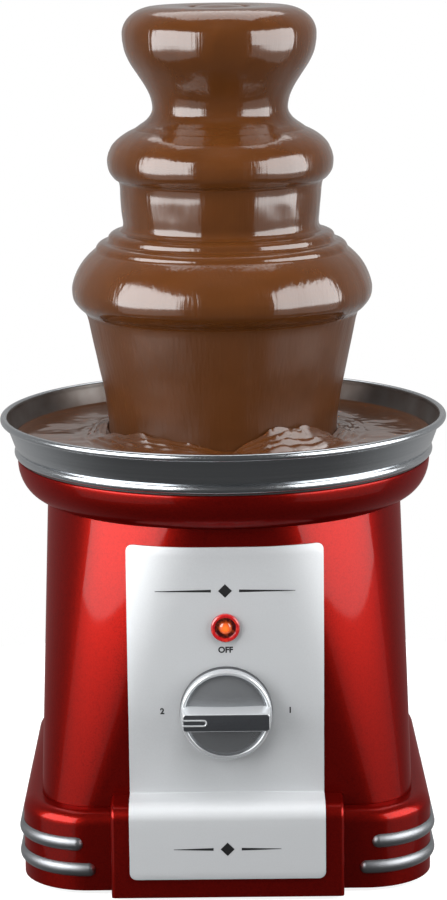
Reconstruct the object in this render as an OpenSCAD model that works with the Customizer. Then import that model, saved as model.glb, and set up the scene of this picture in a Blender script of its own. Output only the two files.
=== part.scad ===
// Chocolate fountain with three tiers, 200 mm wide and 377 mm tall.
// Frame: millimetres, Z up, origin on the floor under the tower's axis, front towards -Y.

/* [Base] */
// Height of the rubber feet under the base
foot_h = 2; // [2:0.5:5]
// Width of the base skirt
base_w = 179; // [176:1:186]
// Depth of the base skirt
base_d = 176; // [172:1:182]
// Corner radius of the base skirt in plan
base_corner = 29.5; // [28:0.5:32]
// Height of the base skirt
skirt_h = 35; // [34:0.5:44]
// Rounding of the skirt's upper edge
shoulder_r = 6; // [4:0.5:7]
// Width of the plinth block at the front
plinth_w = 100; // [94:1:104]
// How far the plinth block stands out of the skirt
plinth_proud = 10; // [8:0.5:11]
// How far the plinth block rises over the skirt
plinth_rise = 5.5; // [4:0.5:9]
// Rounding of the plinth's front upper edge
plinth_round = 6; // [4:0.5:8]
// Wall of the moulded housing parts
wall = 2.5; // [2:0.1:3]
// Thickness of the bottom cover
cover_t = 2.5; // [2:0.1:3]

/* [Body] */
// Height of the body shell
body_h = 123; // [120:1:135]
// Width across the body's upper end
body_top_w = 158; // [154:1:160]
// Corner radius of the body's upper end
body_top_corner = 72; // [66:1:76]
// Width of the ledge between body and skirt
ledge = 8; // [7.5:0.5:10]
// Corner radius of the body's lower end
body_corner = 26; // [22:1:30]
// Height of the collar
collar_h = 17; // [15:0.5:24]
// Radius of the collar's upper edge
collar_r = 92.5; // [90:0.5:94]

/* [Front] */
// Width of the front panel
panel_w = 84; // [78:1:90]
// Thickness of the front panel
panel_t = 0.9; // [0.6:0.1:1.2]
// Height of the panel's upper edge over the floor
panel_top = 152; // [148:0.5:155]
// Height of the panel's lower edge over the floor
panel_foot = 10.5; // [8:0.5:14]
// Height of the knob's axis over the floor
knob_z = 80; // [76:0.5:84]
// Diameter of the knob
knob_d = 40; // [36:0.5:44]
// Length of the knob, with its grip bar
knob_len = 17.6; // [15:0.1:18]
// Height of the pilot lens' axis over the floor
pilot_z = 117; // [114:0.5:122]
// Diameter of the pilot lens' flange
pilot_d = 12.4; // [11.8:0.1:14]
// Height of a chrome strip
strip_h = 6; // [5:0.5:7]
// How far a chrome strip stands out
strip_proud = 1.8; // [1.4:0.1:2.2]

/* [Bowl] */
// Outer radius of the bowl's rolled rim
rim_r = 100; // [98:0.5:104]
// Height of the rim over the bowl's seat
rim_h = 16.8; // [14:0.2:20]
// Radius of the rolled edge
roll_r = 1.6; // [1.2:0.1:2]
// Sheet thickness of the bowl
sheet = 0.8; // [0.7:0.1:1.2]
// Depth of the bowl's floor under its seat
bowl_sink = 13; // [12:0.5:14]
// Thickness of the gasket under the bowl
gasket_t = 0.7; // [0.5:0.1:1]
// Depth of the chocolate's level under the rim
pool_drop = 8; // [6:0.5:9]

/* [Tower] */
// Bore radius of the tower's stem
stem_bore = 13; // [13:0.1:13.6]
// Wall of the stem at its upper end
stem_wall = 1; // [1:0.1:1.4]
// Radius added by each seat step of the stem
stem_step = 1; // [0.8:0.1:1.4]
// Height of the lower tier's rim over the bowl's floor
lower_z = 85.7; // [82:0.5:90]
// Radius of the lower tier's rim
lower_r = 63.6; // [60:0.2:66]
// Height of the lower tier's dome
lower_dome = 27; // [24:0.5:30]
// Height of the middle tier's rim over the bowl's floor
middle_z = 143.7; // [140:0.5:148]
// Radius of the middle tier's rim
middle_r = 46.8; // [44:0.2:48]
// Height of the middle tier's dome
middle_dome = 14; // [12:0.5:16]
// Height of the crown's floor over the bowl's floor
crown_z = 168.7; // [166:0.5:174]
// Radius of the crown's neck
crown_neck = 27.3; // [26:0.1:28.5]
// Radius of the crown's rim
crown_r = 39.9; // [38:0.1:41]
// Height of the crown
crown_h = 30; // [28:0.5:33]
// Thickness of the tiers
tier_t = 1.8; // [1.4:0.1:2.2]
// Thickness of the falling chocolate
film = 2.4; // [2:0.1:3]
// How far the chocolate bulges over a tier's rim
bulge = 3.3; // [2.8:0.1:3.8]

/* [Auger] */
// Outer radius of the auger's flight
flight_r = 12.4; // [12:0.1:12.5]
// Outer radius of the auger's core
core_r = 8; // [7.8:0.1:8.6]
// Height of one turn of the flight
flight_pitch = 24; // [20:0.5:30]
// Thickness of the flight along the axis
flight_t = 2.6; // [2:0.1:3.2]

/* [Drive] */
// Module of the gears
gear_m = 1; // [1:0.01:1.02]
// Teeth of a pinion
pinion_teeth = 12; // [12:1:12]
// Teeth of a large gear
gear_teeth = 48; // [48:1:48]
// Radius of the drive shaft
shaft_r = 3; // [2.8:0.1:3.1]
// Radius of the rotor shaft and of the idler pin
pin_r = 2; // [1.8:0.1:2.2]
// Radius of the rotor
rotor_r = 13.6; // [12:0.1:13.8]
// Length of the lamination stack
stack_h = 20; // [16:1:22]

/* [Fits] */
// Radial clearance of a turning shaft in its bearing
run_fit = 0.05; // [0.03:0.01:0.08]
// Clearance between parts that lie on each other
lay_gap = 0.1; // [0.05:0.01:0.15]
// Clearance between parts that slide into each other
slip_fit = 0.2; // [0.15:0.01:0.3]
// Clearance between parts that move past each other
move_gap = 0.4; // [0.35:0.05:0.6]
// Backlash of the gear teeth at the pitch circle
backlash = 0.2; // [0.16:0.01:0.24]

/* [Hidden] */
$fn = 64;
// Segments of circles inside hulls
hull_fn = 40;
// Overlap of cutting bodies
eps = 0.5;
// Thickness of the thin slices that a lofted form spans
slice = 0.01;

// Heights along the housing, from the floor up
z_edge = foot_h;
z_cover = z_edge + cover_t;
z_deck = z_edge + skirt_h;
z_plinth = z_deck + plinth_rise;
z_shell = z_deck + body_h;
z_collar = z_shell + collar_h;
z_seat = z_collar + gasket_t;
z_rim = z_seat + rim_h;
z_under = z_seat - bowl_sink;
z_bed = z_under + sheet;
z_pool = z_rim - pool_drop;

// Plan sizes of the housing
body_w = base_w - 2 * ledge;
body_d = base_d - 2 * ledge;
plinth_front = base_d / 2 + plinth_proud;
body_top_d = body_top_w;
function body_front(z) = body_top_d / 2 + (body_d - body_top_d) / 2 * (z_shell - z) / body_h;
// Foremost and rearmost place of the body's front within reach of the height z
function face_out(z, reach) = max(body_front(z - reach), body_front(z + reach));
function face_in(z, reach) = min(body_front(z - reach), body_front(z + reach));

// Heights of the tower
z_lower = z_bed + lower_z;
z_middle = z_bed + middle_z;
z_crown = z_bed + crown_z;
hub_h = 8;
hub_w = 2.4;
stem_r3 = stem_bore + stem_wall;
stem_r2 = stem_r3 + stem_step;
stem_r1 = stem_r2 + stem_step;
stem_r0 = stem_r1 + stem_step;
z_step1 = z_lower + lower_dome - hub_h;
z_step2 = z_middle + middle_dome - hub_h;
stem_rise = 1.6;
z_stem = z_crown + crown_h + stem_rise;
foot_rim = 6;
foot_r = stem_r0 + foot_rim;
foot_t = 2.5;
window_w = 14;
window_h = 8;
window_angles = [30, 150, 270];
cap_rise = 11.6;
well_rise = 12.6;
z_cap = z_crown + crown_h + cap_rise;
z_well = z_crown + crown_h + well_rise;
well_round = 5;
lip_w = 5;
lip_h = 9;
ripple = 0.7;

// Heights of the drive
chassis_t = 2;
chassis_drop = 13.5;
z_chassis = z_shell - chassis_drop;
lead_hole = [-44, -30];
lead_hole_r = 5;
lid_t = 2.5;
lid_boss = 7;
lid_boss_h = 4;
z_lid = z_chassis - lid_t;
case_h = 19.5;
case_t = 2.5;
z_case = z_lid - case_h;
case_wall = 2;
case_gap = 2;
case_post_r = 4;
low_boss_r = 6;
low_boss_h = 7;
pin_end = 1.1;
gear_axis = gear_m * (gear_teeth + pinion_teeth) / 2;
addendum = 0.75;
gear_tip = gear_m * (gear_teeth / 2 + addendum);
case_r = gear_tip + case_gap;
case_posts = [for (x = [-1, 1], y = [0, 1]) [x * (case_r + case_wall + 1), y * gear_axis]];
face_low = 4.5;
face_high = 5;
gear_lift = 1.5;
stage_gap = 2;
z_low = z_case + case_t + gear_lift;
z_high = z_low + face_low + stage_gap;
stack_gap = 10.5;
stack_w = 60;
stack_front = 20;
stack_back = 46;
stack_core = [34, 12];
rotor_gap = 0.5;
z_stack = z_case - stack_gap - stack_h;
bridge_gap = 14;
bridge_t = 3;
z_bridge = z_stack - bridge_gap;
bolt_x = 23;
coil_y = stack_back - 7;
coil_w = 27;
coil_wind = 7;
bobbin_wall = 1.1;
leg_d = 14;
bush_r = 5.5;
bush_h = 19;
bush_tail = 8;
z_bush = z_bed + bush_h;
seal_t = 2;
dog_rise = 0.7;
z_dog = z_bush + seal_t + dog_rise;
dog_h = 10;
dog_af = 9;
auger_foot = 3.4;
auger_rise = 4;
z_auger = z_stem + auger_rise;
plate_t = 2.5;
plate_r = 58;
z_plate = z_under - lay_gap - plate_t;
heater_tube = 3.2;
heater_ring = 36;
heater_end = 5;
lead_r = 1.2;
z_heater = z_plate - heater_tube - lay_gap;
stud_r = 2;
stud_ring = 50;
stud_nut_t = 3.2;
stud_angles = [30, 150, 270];
pin_angles = [90, 210, 330];
pin_ring = foot_r - foot_rim / 2;
bowl_pin = 1.6;
bowl_pin_h = 5;

// Places on the housing
cover_post = [base_w / 2 - 12, base_d / 2 - 52];
foot_inset = 27;
foot_at = [base_w / 2 - foot_inset, base_d / 2 - foot_inset];
foot_pad = 9;
foot_peg = 3.3;
shell_post_inset = 17;
shell_post = [body_w / 2 - shell_post_inset, body_d / 2 - shell_post_inset];
shell_post_h = 16;
chassis_ring = 64;
chassis_post_h = 20;
post_r = 4.6;
rib_t = 2;
screw_r = 1.5;
screw_head_r = 3;
screw_head_h = 1.6;
screw_len = 12;
vent_len = 24;
vent_w = 3;
vent_step = 8;
vent_x = 26;
cord_z = z_edge + 15;
cord_hole = 6;
cord_bore = 3.6;
cord_flange = 2.4;
strip_low = z_edge + 9.5;
strip_high = z_edge + 21;
strip_turn = 10.5;
strip_back = 28;
strip_peg = 1.5;

// Places on the front
panel_corner = 3;
switch_bush = 4.5;
bush_stand = 3;
switch_w = 26;
switch_d = 17;
switch_tab = 7;
nut_t = 2.2;
nut_r = 7.5;
switch_back = face_in(knob_z, switch_w / 2) - wall - move_gap;
knob_face = face_out(knob_z, nut_r) + lay_gap + panel_t;
knob_back = face_out(knob_z, knob_d / 2) + lay_gap + panel_t + move_gap;
pilot_face = face_out(pilot_z, pilot_d / 2) + lay_gap + panel_t;
pilot_barrel = 4.8;
pilot_bore = 3.4;
bulb_r = 2.8;
clip_r = 8;
clip_t = 1.2;

steel = "silver";
chocolate = "saddlebrown";
red = "firebrick";
dark = "dimgray";

// Points of an arc with half axes a and b about c
function oval(c, a, b, from, to, n = 12) =
    [for (i = [0 : n]) c + [a * cos(from + (to - from) * i / n), b * sin(from + (to - from) * i / n)]];

// Points of a line moved to its right by g
function shifted(p, g) =
    [for (i = [0 : len(p) - 1])
        let (d = p[min(i + 1, len(p) - 1)] - p[max(i - 1, 0)]) p[i] + g * [d[1], -d[0]] / norm(d)];

function reversed(p) = [for (i = [len(p) - 1 : -1 : 0]) p[i]];

// Point at t on a smooth curve from b to c, with neighbours a and d
function between(a, b, c, d, t) =
    0.5 * (2 * b + (c - a) * t + (2 * a - 5 * b + 4 * c - d) * t * t + (3 * b - a - 3 * c + d) * t * t * t);

// Smooth curve through the points p
function curve(p, n = 6) =
    concat([for (i = [0 : len(p) - 2], k = [0 : n - 1])
        between(p[max(i - 1, 0)], p[i], p[i + 1], p[min(i + 2, len(p) - 1)], k / n)], [p[len(p) - 1]]);

// Upper line of a tier, from its hub out to its rim
function tier_line(hub, rim, z, dome) =
    [for (a = [0 : 7.5 : 90]) [hub + (rim - hub) * sin(a), z + dome * cos(a)]];

// Height of the chocolate's surface on a tier at the radius r
function tier_top(r, seat, rim, z, dome) =
    let (hub = seat + lay_gap + hub_w) z + dome * sqrt(1 - pow((r - hub) / (rim - hub), 2)) + bulge + ripple;

// Outer line of the crown, from its neck up to its rim
function crown_line() =
    [for (t = [0 : 0.1 : 1.01])
        [crown_neck + (crown_r - crown_neck) * (1 - cos(180 * t)) / 2, z_crown + crown_h * t]];

// Outline of an involute gear with a tooth space at the angle start
function inv(a) = tan(a) * 180 / PI - a;
function flank(r, base, half) = r <= base ? half + inv(20) : half + inv(20) - inv(acos(base / r));
function gear_outline(teeth, addendum, start) =
    let (pitch = gear_m * teeth / 2, base = pitch * cos(20), root = pitch - 1.25 * gear_m,
        tip = pitch + addendum * gear_m, half = 90 / teeth - backlash / 2 / pitch * 180 / PI / 2,
        low = max(base, root + 0.1), steps = [0, 0.3, 0.65, 1],
        rs = concat([root], [for (s = steps) low + (tip - low) * s]))
    [for (k = [0 : teeth - 1])
        let (mid = start + (k + 0.5) * 360 / teeth)
        each concat(
            [for (r = rs) r * [cos(mid - flank(r, base, half)), sin(mid - flank(r, base, half))]],
            [for (r = reversed(rs)) r * [cos(mid + flank(r, base, half)), sin(mid + flank(r, base, half))]])];

module rounded_plan(w, d, r) {
    square([w - 2 * r, d], center = true);
    square([w, d - 2 * r], center = true);
    for (x = [-1, 1], y = [-1, 1]) translate([x * (w / 2 - r), y * (d / 2 - r)]) circle(r);
}

// Block with rounded corners in plan and a rounded upper edge
module shouldered_block(w, d, r, z0, z1, edge) {
    hull() for (x = [-1, 1], y = [-1, 1]) translate([x * (w / 2 - r), y * (d / 2 - r), 0])
        rotate_extrude($fn = hull_fn)
            polygon(concat([[0, z0], [r, z0]], oval([r - edge, z1 - edge], edge, edge, 0, 90, 5), [[0, z1]]));
}

// Solid form of the body, grown by g on all sides, from z0 to z1
module body_form(g, z0, z1) {
    hull() {
        translate([0, 0, z0]) linear_extrude(slice)
            rounded_plan(body_w + 2 * g, body_d + 2 * g, body_corner + g, $fn = hull_fn * 2);
        translate([0, 0, z1 - slice]) linear_extrude(slice)
            rounded_plan(body_top_w + 2 * g, body_top_d + 2 * g, body_top_corner + g, $fn = hull_fn * 2);
    }
}

// Plinth block shrunk by g, back to the distance y
module plinth_form(g, z0, y) {
    front = plinth_front - g;
    top = z_plinth - g;
    edge = plinth_round - g;
    intersection() {
        rotate([90, 0, 90]) linear_extrude(plinth_w - 2 * g, center = true)
            polygon(concat([[-y, z0], [-front, z0]],
                reversed(oval([edge - front, top - edge], edge, edge, 90, 180, 8)), [[-y, top]]));
        translate([0, -front + 30, z0 - eps]) linear_extrude(z_plinth)
            rounded_plan(plinth_w - 2 * g, 60, 3);
    }
}

// Round post of the base skirt with its rib to the side wall
module cover_posts() {
    for (x = [-1, 1], y = [-1, 1]) translate([x * cover_post[0], y * cover_post[1], 0]) {
        translate([0, 0, z_cover]) cylinder(r = post_r, h = z_deck - wall / 2 - z_cover);
        translate([x * 6, 0, (z_cover + z_deck) / 2 - 2])
            cube([12, rib_t, z_deck - z_cover - 8], center = true);
    }
}

module strip_pegs(side, z, r) {
    for (y = [-40, 20]) translate([side * (base_w / 2 - wall - 2), y, z]) rotate([0, 90 * side, 0])
        cylinder(r = r, h = wall + 2 + lay_gap + 0.3);
}

module base_skirt() color(red) {
    difference() {
        union() {
            shouldered_block(base_w, base_d, base_corner, z_edge, z_deck, shoulder_r);
            plinth_form(0, z_edge, body_front(z_deck) + lay_gap);
        }
        shouldered_block(base_w - 2 * wall, base_d - 2 * wall, base_corner - wall,
            z_edge - eps, z_deck - wall, shoulder_r - wall / 2);
        plinth_form(wall, z_edge - eps, body_front(z_deck) + lay_gap + wall);
        translate([0, 0, z_deck - wall - eps]) linear_extrude(wall + 2 * eps)
            rounded_plan(body_w - 56, body_d - 56, 15);
        for (x = [-1, 1], y = [-1, 1]) translate([x * shell_post[0], y * shell_post[1], z_deck - wall - eps])
            cylinder(r = screw_r + slip_fit, h = wall + 2 * eps);
        for (side = [-1, 1], z = [strip_low, strip_high]) strip_pegs(side, z, strip_peg + lay_gap);
        translate([0, base_d / 2 + eps, cord_z]) rotate([90, 0, 0])
            cylinder(r = cord_hole + lay_gap, h = wall + 2 * eps);
    }
    difference() {
        cover_posts();
        for (x = [-1, 1], y = [-1, 1]) translate([x * cover_post[0], y * cover_post[1], z_cover - eps])
            cylinder(r = screw_r + lay_gap, h = screw_len + 2);
    }
}

module shell_posts() {
    for (x = [-1, 1], y = [-1, 1]) {
        translate([x * shell_post[0], y * shell_post[1], z_deck]) {
            cylinder(r = post_r, h = shell_post_h);
            rotate([0, 0, 90 - x * 90 + x * y * 45]) translate([0, -rib_t / 2, 0])
                cube([shell_post_inset, rib_t, shell_post_h]);
        }
        rotate([0, 0, x * 90 - 90 + y * 45])
            translate([chassis_ring, 0, z_chassis - chassis_post_h - lay_gap]) {
                cylinder(r = post_r, h = chassis_post_h);
                translate([0, -rib_t / 2, 0]) cube([body_w / 2, rib_t, chassis_post_h]);
            }
    }
}

module body_shell() color(red) difference() {
    union() {
        difference() {
            body_form(0, z_deck + lay_gap, z_shell);
            body_form(-wall, z_deck - eps, z_shell + eps);
        }
        intersection() {
            shell_posts();
            body_form(-wall / 2, z_deck + lay_gap, z_shell);
        }
    }
    for (x = [-1, 1], y = [-1, 1]) {
        translate([x * shell_post[0], y * shell_post[1], z_deck - eps])
            cylinder(r = screw_r + lay_gap, h = screw_len + 2);
        rotate([0, 0, x * 90 - 90 + y * 45]) translate([chassis_ring, 0, z_chassis - screw_len - 2])
            cylinder(r = screw_r + lay_gap, h = screw_len + 3);
    }
    translate([0, 0, knob_z]) rotate([90, 0, 0]) cylinder(r = switch_bush + slip_fit, h = rim_r);
    translate([0, 0, pilot_z]) rotate([90, 0, 0]) cylinder(r = pilot_barrel + slip_fit, h = rim_r);
}

module collar() color(red) {
    low = body_top_w / 2 + 1;
    outer = oval([low, z_collar], collar_r - low, -collar_h + lay_gap, 0, 90);
    inner = oval([low - wall, z_collar], collar_r - low, -collar_h + wall, 0, 90);
    spigot = body_top_w / 2 - wall - slip_fit;
    spigot_end = z_shell - 6;
    rotate_extrude() polygon(concat(outer, [[spigot, z_shell + lay_gap], [spigot, spigot_end],
        [spigot - wall, spigot_end], [spigot - wall, z_shell + wall]], reversed(inner)));
}

module front_panel() color("lightgray") {
    face = plinth_front + lay_gap;
    top = z_plinth + lay_gap;
    edge = plinth_round + lay_gap;
    back = body_front(z_plinth) + lay_gap;
    bend = oval([edge - face, top - edge], edge, edge, 90, 180, 8);
    under = concat([[-back, top]], bend, [[-face, panel_foot]]);
    difference() {
        union() {
            intersection() {
                difference() {
                    body_form(lay_gap + panel_t, z_deck + lay_gap, z_shell);
                    body_form(lay_gap, z_deck - eps, z_shell + eps);
                }
                rotate([90, 0, 0]) linear_extrude(rim_r) {
                    inner_w = panel_w - 2 * panel_corner;
                    translate([-panel_w / 2, top]) square([panel_w, panel_top - panel_corner - top]);
                    translate([-inner_w / 2, top]) square([inner_w, panel_top - top]);
                    for (x = [-1, 1]) translate([x * inner_w / 2, panel_top - panel_corner])
                        circle(panel_corner);
                }
            }
            rotate([90, 0, 90]) linear_extrude(panel_w, center = true)
                polygon(concat(under, reversed(shifted(under, panel_t))));
        }
        translate([0, 0, knob_z]) rotate([90, 0, 0]) cylinder(r = switch_bush + slip_fit, h = rim_r);
        translate([0, 0, pilot_z]) rotate([90, 0, 0]) cylinder(r = pilot_barrel + slip_fit, h = rim_r);
    }
}

module bottom_cover() color(dark) difference() {
    translate([0, 0, z_edge]) linear_extrude(cover_t) {
        inset = 2 * (wall + slip_fit);
        difference() {
            union() {
                rounded_plan(base_w - inset, base_d - inset, base_corner - inset / 2);
                translate([0, -plinth_front / 2]) rounded_plan(plinth_w - inset, plinth_front - inset, 3);
            }
            for (x = [-1, 1], y = [-1, 1]) {
                translate([x * cover_post[0], y * cover_post[1]]) circle(screw_r + slip_fit);
                translate([x * foot_at[0], y * foot_at[1]]) circle(foot_peg + lay_gap);
            }
            for (x = [-1, 1], k = [-3 : 3]) translate([x * vent_x, k * vent_step]) {
                square([vent_len, vent_w], center = true);
                for (end = [-1, 1]) translate([end * vent_len / 2, 0]) circle(vent_w / 2);
            }
        }
    }
}

// Rubber feet, each with a peg and a barb pressed through the bottom cover
module feet() color("black") for (x = [-1, 1], y = [-1, 1]) translate([x * foot_at[0], y * foot_at[1], 0]) {
    edge = 0.6;
    barb = foot_peg + 0.9;
    tip = foot_peg - 0.9;
    z_tip = z_cover + 3;
    rotate_extrude() polygon([[0, 0], [foot_pad - edge, 0], [foot_pad, edge], [foot_pad, z_edge - lay_gap],
        [foot_peg, z_edge - lay_gap], [foot_peg, z_cover + lay_gap], [barb, z_cover + lay_gap],
        [tip, z_tip], [0, z_tip]]);
}

// Pan-head screw with its head's seat at the origin, shank along +Z
module screw(len) {
    translate([0, 0, -screw_head_h]) cylinder(r = screw_head_r, h = screw_head_h - lay_gap);
    translate([0, 0, -lay_gap]) cylinder(r = screw_r, h = len);
}

module cover_screws() color(steel) for (x = [-1, 1], y = [-1, 1])
    translate([x * cover_post[0], y * cover_post[1], z_edge]) screw(screw_len);

module shell_screws() color(steel) for (x = [-1, 1], y = [-1, 1])
    translate([x * shell_post[0], y * shell_post[1], z_deck - wall]) screw(screw_len + 1);

module chassis_screws() color(steel) for (x = [-1, 1], y = [-1, 1])
    rotate([0, 0, x * 90 - 90 + y * 45]) translate([chassis_ring, 0, z_chassis + chassis_t])
        mirror([0, 0, 1]) screw(screw_len);

// Half-round chrome strip round a front corner; turn is the angle at which it starts
module chrome_strip(side, z, turn, back) color(steel) mirror([side > 0 ? 0 : 1, 0, 0]) {
    half = strip_h / 2;
    round_r = (half * half + strip_proud * strip_proud) / (2 * strip_proud);
    face = lay_gap;
    centre = [base_w / 2 - base_corner, -base_d / 2 + base_corner];
    translate([centre[0], centre[1], z]) {
        difference() {
            rotate([0, 0, -90]) rotate_extrude(angle = 90) strip_section(base_corner + face, round_r);
            rotate([0, 0, -90 + turn]) translate([0, -base_w, -strip_h]) cube([base_w, base_w, 2 * strip_h]);
        }
        rotate([90, 0, 180]) mirror([1, 0, 0]) linear_extrude(back - centre[1])
            strip_section(base_corner + face, round_r);
        rotate([0, 0, -90 + turn]) translate([base_corner + face, 0, 0]) mirror([0, 1, 0]) strip_end(round_r);
        translate([base_corner + face, back - centre[1], 0]) strip_end(round_r);
    }
    strip_pegs(1, z, strip_peg);
}

module strip_section(r, round_r) intersection() {
    translate([r + strip_proud - round_r, 0]) circle(round_r);
    translate([r, -strip_h]) square([strip_h, 2 * strip_h]);
}

// Rounded end of a strip, a hair lower than the strip so that their faces stay apart
module strip_end(round_r) intersection() {
    translate([strip_proud - round_r, 0, 0]) sphere(round_r - 0.03);
    translate([0, -0.2, -strip_h]) cube([strip_h, strip_h, 2 * strip_h]);
}

module strip_left_upper() chrome_strip(-1, strip_high, strip_turn, strip_back);
module strip_left_lower() chrome_strip(-1, strip_low, 0, strip_back + 6);
module strip_right_upper() chrome_strip(1, strip_high, strip_turn, strip_back);
module strip_right_lower() chrome_strip(1, strip_low, 0, strip_back + 6);

module cord_bush() color("black") translate([0, base_d / 2, cord_z]) rotate([-90, 0, 0]) {
    flange = cord_hole + cord_flange;
    edge = 1;
    inside = -wall - 3;
    barb = cord_hole + 1;
    rotate_extrude() polygon([[cord_bore, inside], [barb, inside], [barb, -wall - lay_gap],
        [cord_hole, -wall - lay_gap], [cord_hole, lay_gap], [flange, lay_gap],
        [flange, cord_flange - edge], [flange - edge, cord_flange], [cord_bore, cord_flange]]);
}

// Underside line of the bowl, from its middle hole to the rolled edge
bowl_line = concat([[bush_r + lay_gap, z_under], [66, z_under]],
    curve([[70, z_under], [79, z_under + 2.2], [86, z_under + 6.5], [collar_r - 3.4, z_seat]], 4),
    [[collar_r - 0.4, z_seat + 0.2], [collar_r + 1.2, z_seat + 1.6], [collar_r + 1.4, z_seat + 3.2],
        [rim_r - roll_r - 0.4, z_rim - 0.6 * roll_r]]);

module bowl() color(steel) {
    rotate_extrude() {
        polygon(concat(bowl_line, reversed(shifted(bowl_line, -sheet))));
        translate([rim_r - roll_r, z_rim]) circle(roll_r);
    }
    for (a = pin_angles) rotate([0, 0, a]) translate([pin_ring, 0, z_bed - sheet / 2])
        cylinder(r = bowl_pin, h = bowl_pin_h);
}

module bowl_gasket() color("black") translate([0, 0, z_collar + lay_gap / 2]) difference() {
    cylinder(r = collar_r - 0.6, h = gasket_t - lay_gap);
    translate([0, 0, -eps]) cylinder(r = collar_r - 3, h = gasket_t + 2 * eps);
}

module chocolate_pool() color(chocolate) {
    floor = [for (p = shifted(bowl_line, -sheet - lay_gap)) if (p[1] < z_pool - 0.5 && p[0] > foot_r + 8) p];
    edge = collar_r + 1.4 - sheet - lay_gap;
    rise = (z_pool - z_seat - 3.2) / (z_rim - roll_r - z_seat - 3.2) * (rim_r - roll_r - collar_r - 2);
    inner = foot_r + move_gap;
    rotate_extrude() polygon(concat([[inner, z_pool], [inner, z_bed + lay_gap]], floor,
        [[edge + rise - 0.3, z_pool]]));
}

module shaft_bush() color("goldenrod") difference() {
    union() {
        translate([0, 0, z_plate - bush_tail]) cylinder(r = bush_r, h = z_bush - z_plate + bush_tail);
        translate([0, 0, z_bed + lay_gap]) cylinder(r = bush_r + 3.5, h = 2);
    }
    translate([0, 0, z_plate - bush_tail - eps])
        cylinder(r = shaft_r + run_fit, h = z_bush - z_plate + bush_tail + 2 * eps);
}

module bush_nut() color(steel) {
    thick = 4.5;
    translate([0, 0, z_plate - thick - lay_gap]) difference() {
        cylinder(r = bush_r + 4.3, h = thick, $fn = 6);
        translate([0, 0, -eps]) cylinder(r = bush_r + lay_gap, h = thick + 2 * eps);
    }
}

module shaft_seal() color("black") translate([0, 0, z_bush + lay_gap]) difference() {
    cylinder(r = bush_r, h = seal_t);
    translate([0, 0, -eps]) cylinder(r = shaft_r + run_fit, h = seal_t + 2 * eps);
}

module heat_plate() color("gainsboro") translate([0, 0, z_plate]) difference() {
    cylinder(r = plate_r, h = plate_t);
    translate([0, 0, -eps]) cylinder(r = bush_r + slip_fit, h = plate_t + 2 * eps);
    for (a = stud_angles) rotate([0, 0, a]) translate([stud_ring, 0, -eps])
        cylinder(r = stud_r + lay_gap, h = plate_t + 2 * eps);
}

module bowl_studs() color(steel) for (a = stud_angles) rotate([0, 0, a])
    translate([stud_ring, 0, z_chassis - 2 * stud_nut_t])
        cylinder(r = stud_r, h = z_plate + plate_t - z_chassis + 2 * stud_nut_t);

module stud_nuts() color(steel) for (a = stud_angles) rotate([0, 0, a])
    translate([stud_ring, 0, z_chassis - stud_nut_t - lay_gap]) difference() {
        cylinder(r = 2 * stud_r, h = stud_nut_t, $fn = 6);
        translate([0, 0, -eps]) cylinder(r = stud_r + lay_gap, h = stud_nut_t + 2 * eps);
    }

// Tubular heater, a ring with its two ends turned down
module heater() color("darkgray") {
    tube = heater_tube;
    ring = heater_ring;
    translate([0, 0, z_heater]) {
        rotate([0, 0, 105]) rotate_extrude(angle = 330) translate([ring, 0]) circle(tube);
        for (a = [105, 75]) rotate([0, 0, a]) translate([ring, 0, 0]) {
            sphere(tube);
            translate([0, 0, -heater_end]) cylinder(r = 1.4, h = heater_end);
        }
    }
}

module thermostat() color("ivory") translate([-20, -8, z_plate - lay_gap]) {
    cap = 2;
    height = 9;
    translate([0, 0, -cap]) cylinder(r = 7.6, h = cap);
    translate([0, 0, -height]) cylinder(r = 6.4, h = height - cap + 0.2);
    for (x = [-1, 1]) translate([x * 8.5, 0, -7.6]) cube([6, 4, 0.8], center = true);
}

module thermal_fuse() color("white") {
    fuse = 2.1;
    translate([12, -19, z_plate - lay_gap - fuse - 0.1]) rotate([0, 90, 0]) {
        cylinder(r = fuse, h = 14, center = true);
        cylinder(r = 0.6, h = 24, center = true);
    }
}

module chassis_plate() color("lightsteelblue") translate([0, 0, z_chassis])
    linear_extrude(chassis_t) difference() {
        circle(chassis_ring + 7);
        circle(lid_boss + slip_fit);
        for (a = [45 : 90 : 315]) rotate(a) translate([chassis_ring, 0]) circle(screw_r + slip_fit);
        for (a = stud_angles) rotate(a) translate([stud_ring, 0]) circle(stud_r + slip_fit);
        for (p = case_posts) translate(p) circle(screw_r + slip_fit);
        translate(lead_hole) circle(lead_hole_r);
    }

// Plan of the gear case, grown by g
module case_plan(g) {
    circle(case_r + g);
    translate([0, gear_axis]) circle(case_r + g);
    translate([-case_r - g, 0]) square([2 * (case_r + g), gear_axis]);
}

module gear_lid() color(dark) difference() {
    union() {
        translate([0, 0, z_lid]) linear_extrude(lid_t - lay_gap) {
            case_plan(case_wall);
            for (p = case_posts) translate(p) circle(case_post_r);
        }
        translate([0, 0, z_lid]) cylinder(r = lid_boss, h = lid_t + chassis_t + lid_boss_h);
    }
    translate([0, 0, z_lid - eps])
        cylinder(r = shaft_r + run_fit, h = lid_t + chassis_t + lid_boss_h + 2 * eps);
    translate([0, gear_axis, z_lid - eps]) cylinder(r = pin_r + lay_gap / 2, h = pin_end + eps);
    for (p = case_posts) translate([p[0], p[1], z_lid - eps])
        cylinder(r = screw_r + slip_fit, h = lid_t + 2 * eps);
}

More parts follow.
